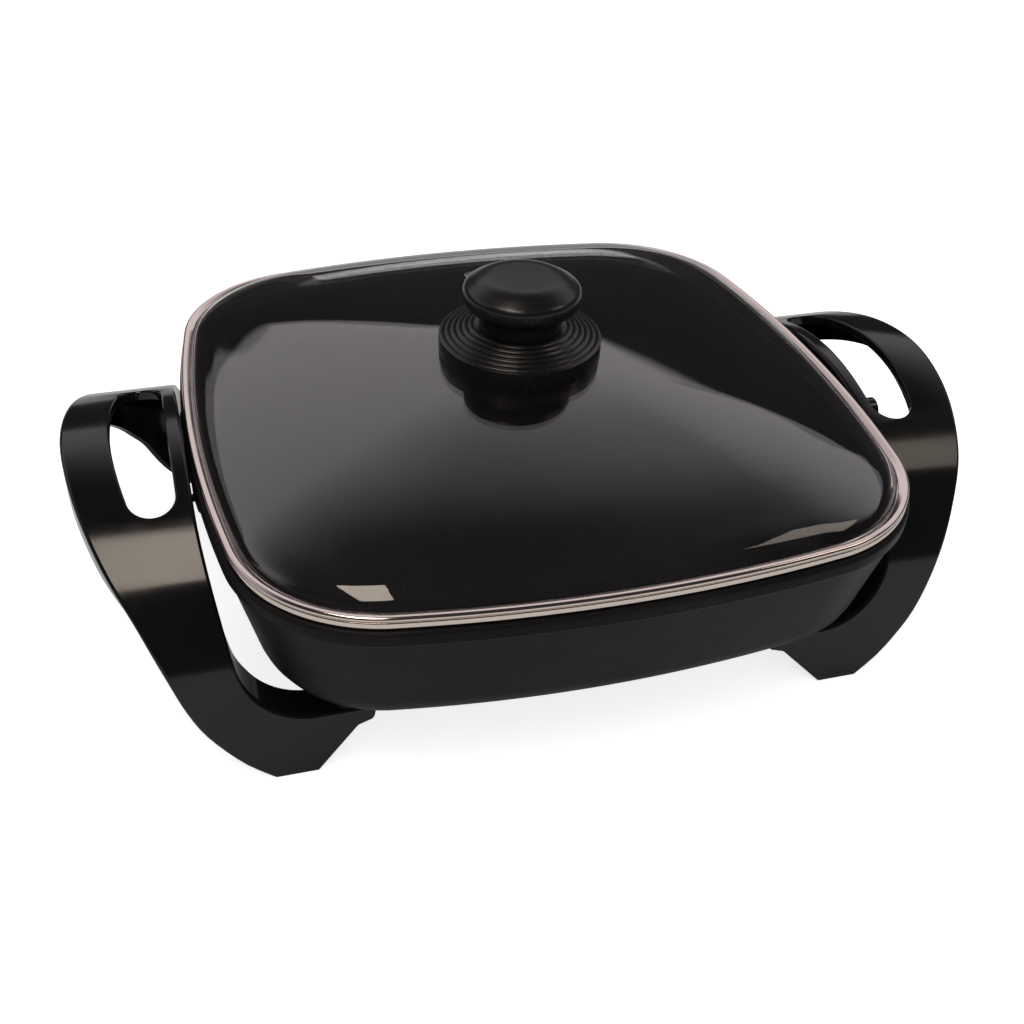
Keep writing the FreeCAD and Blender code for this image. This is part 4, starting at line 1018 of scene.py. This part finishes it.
outline = plate_outline(0)
print("outline of half a plate:", len(outline), "points")

# %% [markdown]
# The plate is one face pushed to the depth of the channel. Its outer edges get the soft rounding that a
# moulding needs to leave its tool. The hollow, the low wall round the hand hole and the hole itself are cut
# and added as solids, and the hole's edge is then rounded too.

# %% Flat half of a handle
def plate(name, outline, top, bottom):
    """A flat outline pushed down between two depths, X across the strap and -Y along the arch."""
    piece = draw_section(name, [(x, -run) for x, run in outline], flat=True)
    bpy.ops.mesh.edge_face_add()
    bpy.ops.transform.translate(value=(0, 0, -top * MM))
    bpy.ops.mesh.extrude_region_move(TRANSFORM_OT_translate={"value": (0, 0, (top - bottom) * MM)})
    return close_up(piece)


def hole_outline(grow):
    """Half the hand hole, carried from its plan onto the unrolled plate."""
    end, side, edge = 10.6 + grow, 223 + grow, 168.9 - grow
    middle = 194.5 - 223
    across = edge + end
    along = math.sqrt((side - end) ** 2 - (across - middle) ** 2)
    turn = math.atan2(along, across - middle)
    points = [(edge, 8)]
    for i in range(15):
        angle = math.pi + (math.pi - turn) * i / 14
        points.append((across + end * math.cos(angle), -along + end * math.sin(angle)))
    for i in range(1, 13):
        angle = -turn * (1 - i / 12)
        points.append((middle + side * math.cos(angle), side * math.sin(angle)))
    points.append((points[-1][0], 8))
    return [(x, CROWN_RADIUS * math.asin(-y / CROWN_RADIUS)) for x, y in points]


handle = plate("handle_right_dressed", outline, 0, ARCH_DEPTH)
bpy.ops.object.mode_set(mode="EDIT")
select_where(handle, "edges", lambda edge: all(abs(point.co.z) < NEAR for point in edge.verts))
bpy.ops.mesh.bevel(offset=1.5 * MM, offset_type="OFFSET", segments=4, clamp_overlap=False)
bpy.ops.object.mode_set(mode="OBJECT")
hollow = plate("hollow", plate_outline(ARCH_WALL), ARCH_WALL, ARCH_DEPTH + 4)
combine(handle, [hollow], "DIFFERENCE")
combine(handle, [plate("collar", hole_outline(ARCH_WALL), 1, COLLAR_DEPTH)], "UNION")
combine(handle, [plate("hand_hole", hole_outline(0), -5, 12)], "DIFFERENCE")

bpy.ops.object.mode_set(mode="EDIT")
found = select_where(handle, "edges", lambda edge: all(abs(point.co.z) < NEAR for point in edge.verts)
                     and len(edge.link_faces) == 2
                     and min(abs(face.normal.z) for face in edge.link_faces) < 0.1)
bpy.ops.mesh.bevel(offset=1.1 * MM, offset_type="OFFSET", segments=3, clamp_overlap=False)
bpy.ops.object.mode_set(mode="OBJECT")
print("edges of the hand hole rounded:", found)

# %% [markdown]
# Now the plate is sliced along its length and bent. Blender's own bend tool needs a window, and a curve
# modifier would lean the walls of the hand hole, which are upright on the real handle because the tool draws
# straight out. So each point is carried onto the arch by the same sums that unrolled it: walls near the hole
# stay upright, and those of the arms and feet stay level.

# %% Slice and bend
SLICE = 2.4


def soft_step(value, low, high):
    """How far a value is from one end of a range to the other, eased at both."""
    t = min(1.0, max(0.0, (value - low) / (high - low)))
    return t * t * (3 - 2 * t)


def bend_point(point):
    """Carry a point of the flat plate onto the arch."""
    across, run, deep = point.x / MM, -point.y / MM, -point.z / MM
    turn = max(0.0, run) / CROWN_RADIUS
    if run > CROWN_END:
        turn = min(KNEE_TURN, CROWN_TURN + (run - CROWN_END) / SHOULDER_RADIUS)
    near_hole = 1 - soft_step(across, edge_reach(abs(run)) - 13, edge_reach(abs(run)) - 3)
    upright = (1 - soft_step(turn, math.radians(28), math.radians(55))) * near_hole
    level = soft_step(turn, math.radians(58), KNEE_TURN)
    run += deep * (math.tan(turn) * upright if run > 0 else 0) - deep * math.tan(LEG_LEAN) * level
    if run < 0:
        return Vector((across, -run, crown_height + CROWN_RADIUS - deep)) * MM
    away, height = arch_point(run, deep)
    return Vector((across, away, height)) * MM


bpy.ops.object.mode_set(mode="EDIT")
for i in range(1, int(SHOULDER_END / SLICE) + 2):
    bpy.ops.mesh.select_all(action="SELECT")
    bpy.ops.mesh.bisect(plane_co=(0, -i * SLICE * MM, 0), plane_no=(0, 1, 0))
bpy.ops.mesh.select_all(action="SELECT")
bpy.ops.mesh.bisect(plane_co=(0, 0, 0), plane_no=(0, 1, 0), clear_outer=True)
bpy.ops.object.mode_set(mode="OBJECT")
for point in handle.data.vertices:
    point.co = bend_point(point.co)
handle.data.update()
print("bent plate has", len(handle.data.polygons), "faces")

# %% [markdown]
# Hollow posts carry the screws into the pan's ears, and the arms have a recess for theirs. They are added and
# cut once the plate is bent, because they are straight. On the right they stand out into the hand hole. On the
# left they stay under the strap, and the screws are seated that much deeper. The rear half of each handle is a
# mirror image of the front, and the left handle is mirrored as a whole.

# %% Posts, passages and the two handles
POST_Y, POST_Z = 30.5, 94.3
LYING = math.radians(90)
LEFT_SCREW_SHIFT = 4


def finish_handle(piece, post_end, seat, side):
    """Add and cut what is straight, and mirror the half into a whole handle."""
    bpy.context.view_layer.objects.active = piece
    middle = (STRAP_FACE + post_end) / 2
    combine(piece, [cutter("post", 6.0, post_end - STRAP_FACE, (middle, -POST_Y, POST_Z), LYING, "Y")], "UNION")
    combine(piece, [
        cutter("post_seat", 4.2, 12, (seat + 6, -POST_Y, POST_Z), LYING, "Y"),
        cutter("post_passage", 2.2, 20, (165, -POST_Y, POST_Z), LYING, "Y"),
        cutter("arm_seat", 4.8, 17, (ARM_SCREW_X, -ARM_SCREW_Y, 13.5)),
        cutter("arm_passage", 2.2, 30, (ARM_SCREW_X, -ARM_SCREW_Y, 20)),
    ], "DIFFERENCE")
    for point in piece.data.vertices:
        if abs(point.co.y) < 0.05 * MM:
            point.co.y = 0
    apply_modifier(piece, "MIRROR", use_axis=(False, True, False), merge_threshold=0.02 * MM)
    bpy.ops.object.mode_set(mode="EDIT")
    bpy.ops.mesh.select_all(action="SELECT")
    bpy.ops.transform.resize(value=(side, 1, 1), center_override=(0, 0, 0))
    close_up(piece, 35)


bpy.ops.object.select_all(action="DESELECT")
handle.select_set(True)
bpy.context.view_layer.objects.active = handle
bpy.ops.object.duplicate()
left_handle = bpy.context.object
left_handle.name = "handle_left_dressed"
finish_handle(handle, 180, 169, 1)
finish_handle(left_handle, 168, 165, -1)
finish_piece(handle, "handle_right", "base", "handle_phenolic")
finish_piece(left_handle, "handle_left", "base", "handle_phenolic")

left_screws = smooth_copy("strap_screws_left")
for point in left_screws.data.vertices:
    if point.co.x < -166 * MM:
        point.co.x += LEFT_SCREW_SHIFT * MM
finish_piece(left_screws, "strap_screws_left", "base", "screw_steel")

# %% [markdown]
# The knob with its disc, the gaskets, the socket's pieces and the screws keep the model's own form, which is
# already exact. Each is a merged copy with the finish that the record names for it.

# %% Pieces taken over from the model
node_body = {}
for body, members in frame["record"]["behaviour"]["bodies"].items():
    for node in members:
        node_body[node] = body
replaced = {"pan_body", "rim_band", "lid_glass", "handle_left", "handle_right", "strap_screws_left"}
taken_over = [entry for entry in frame["record"]["subparts"] if entry["node"] not in replaced]
for entry in taken_over:
    finish_piece(smooth_copy(entry["node"]), entry["node"], node_body[entry["node"]], entry["material_slot"])
print("taken over:", len(taken_over))
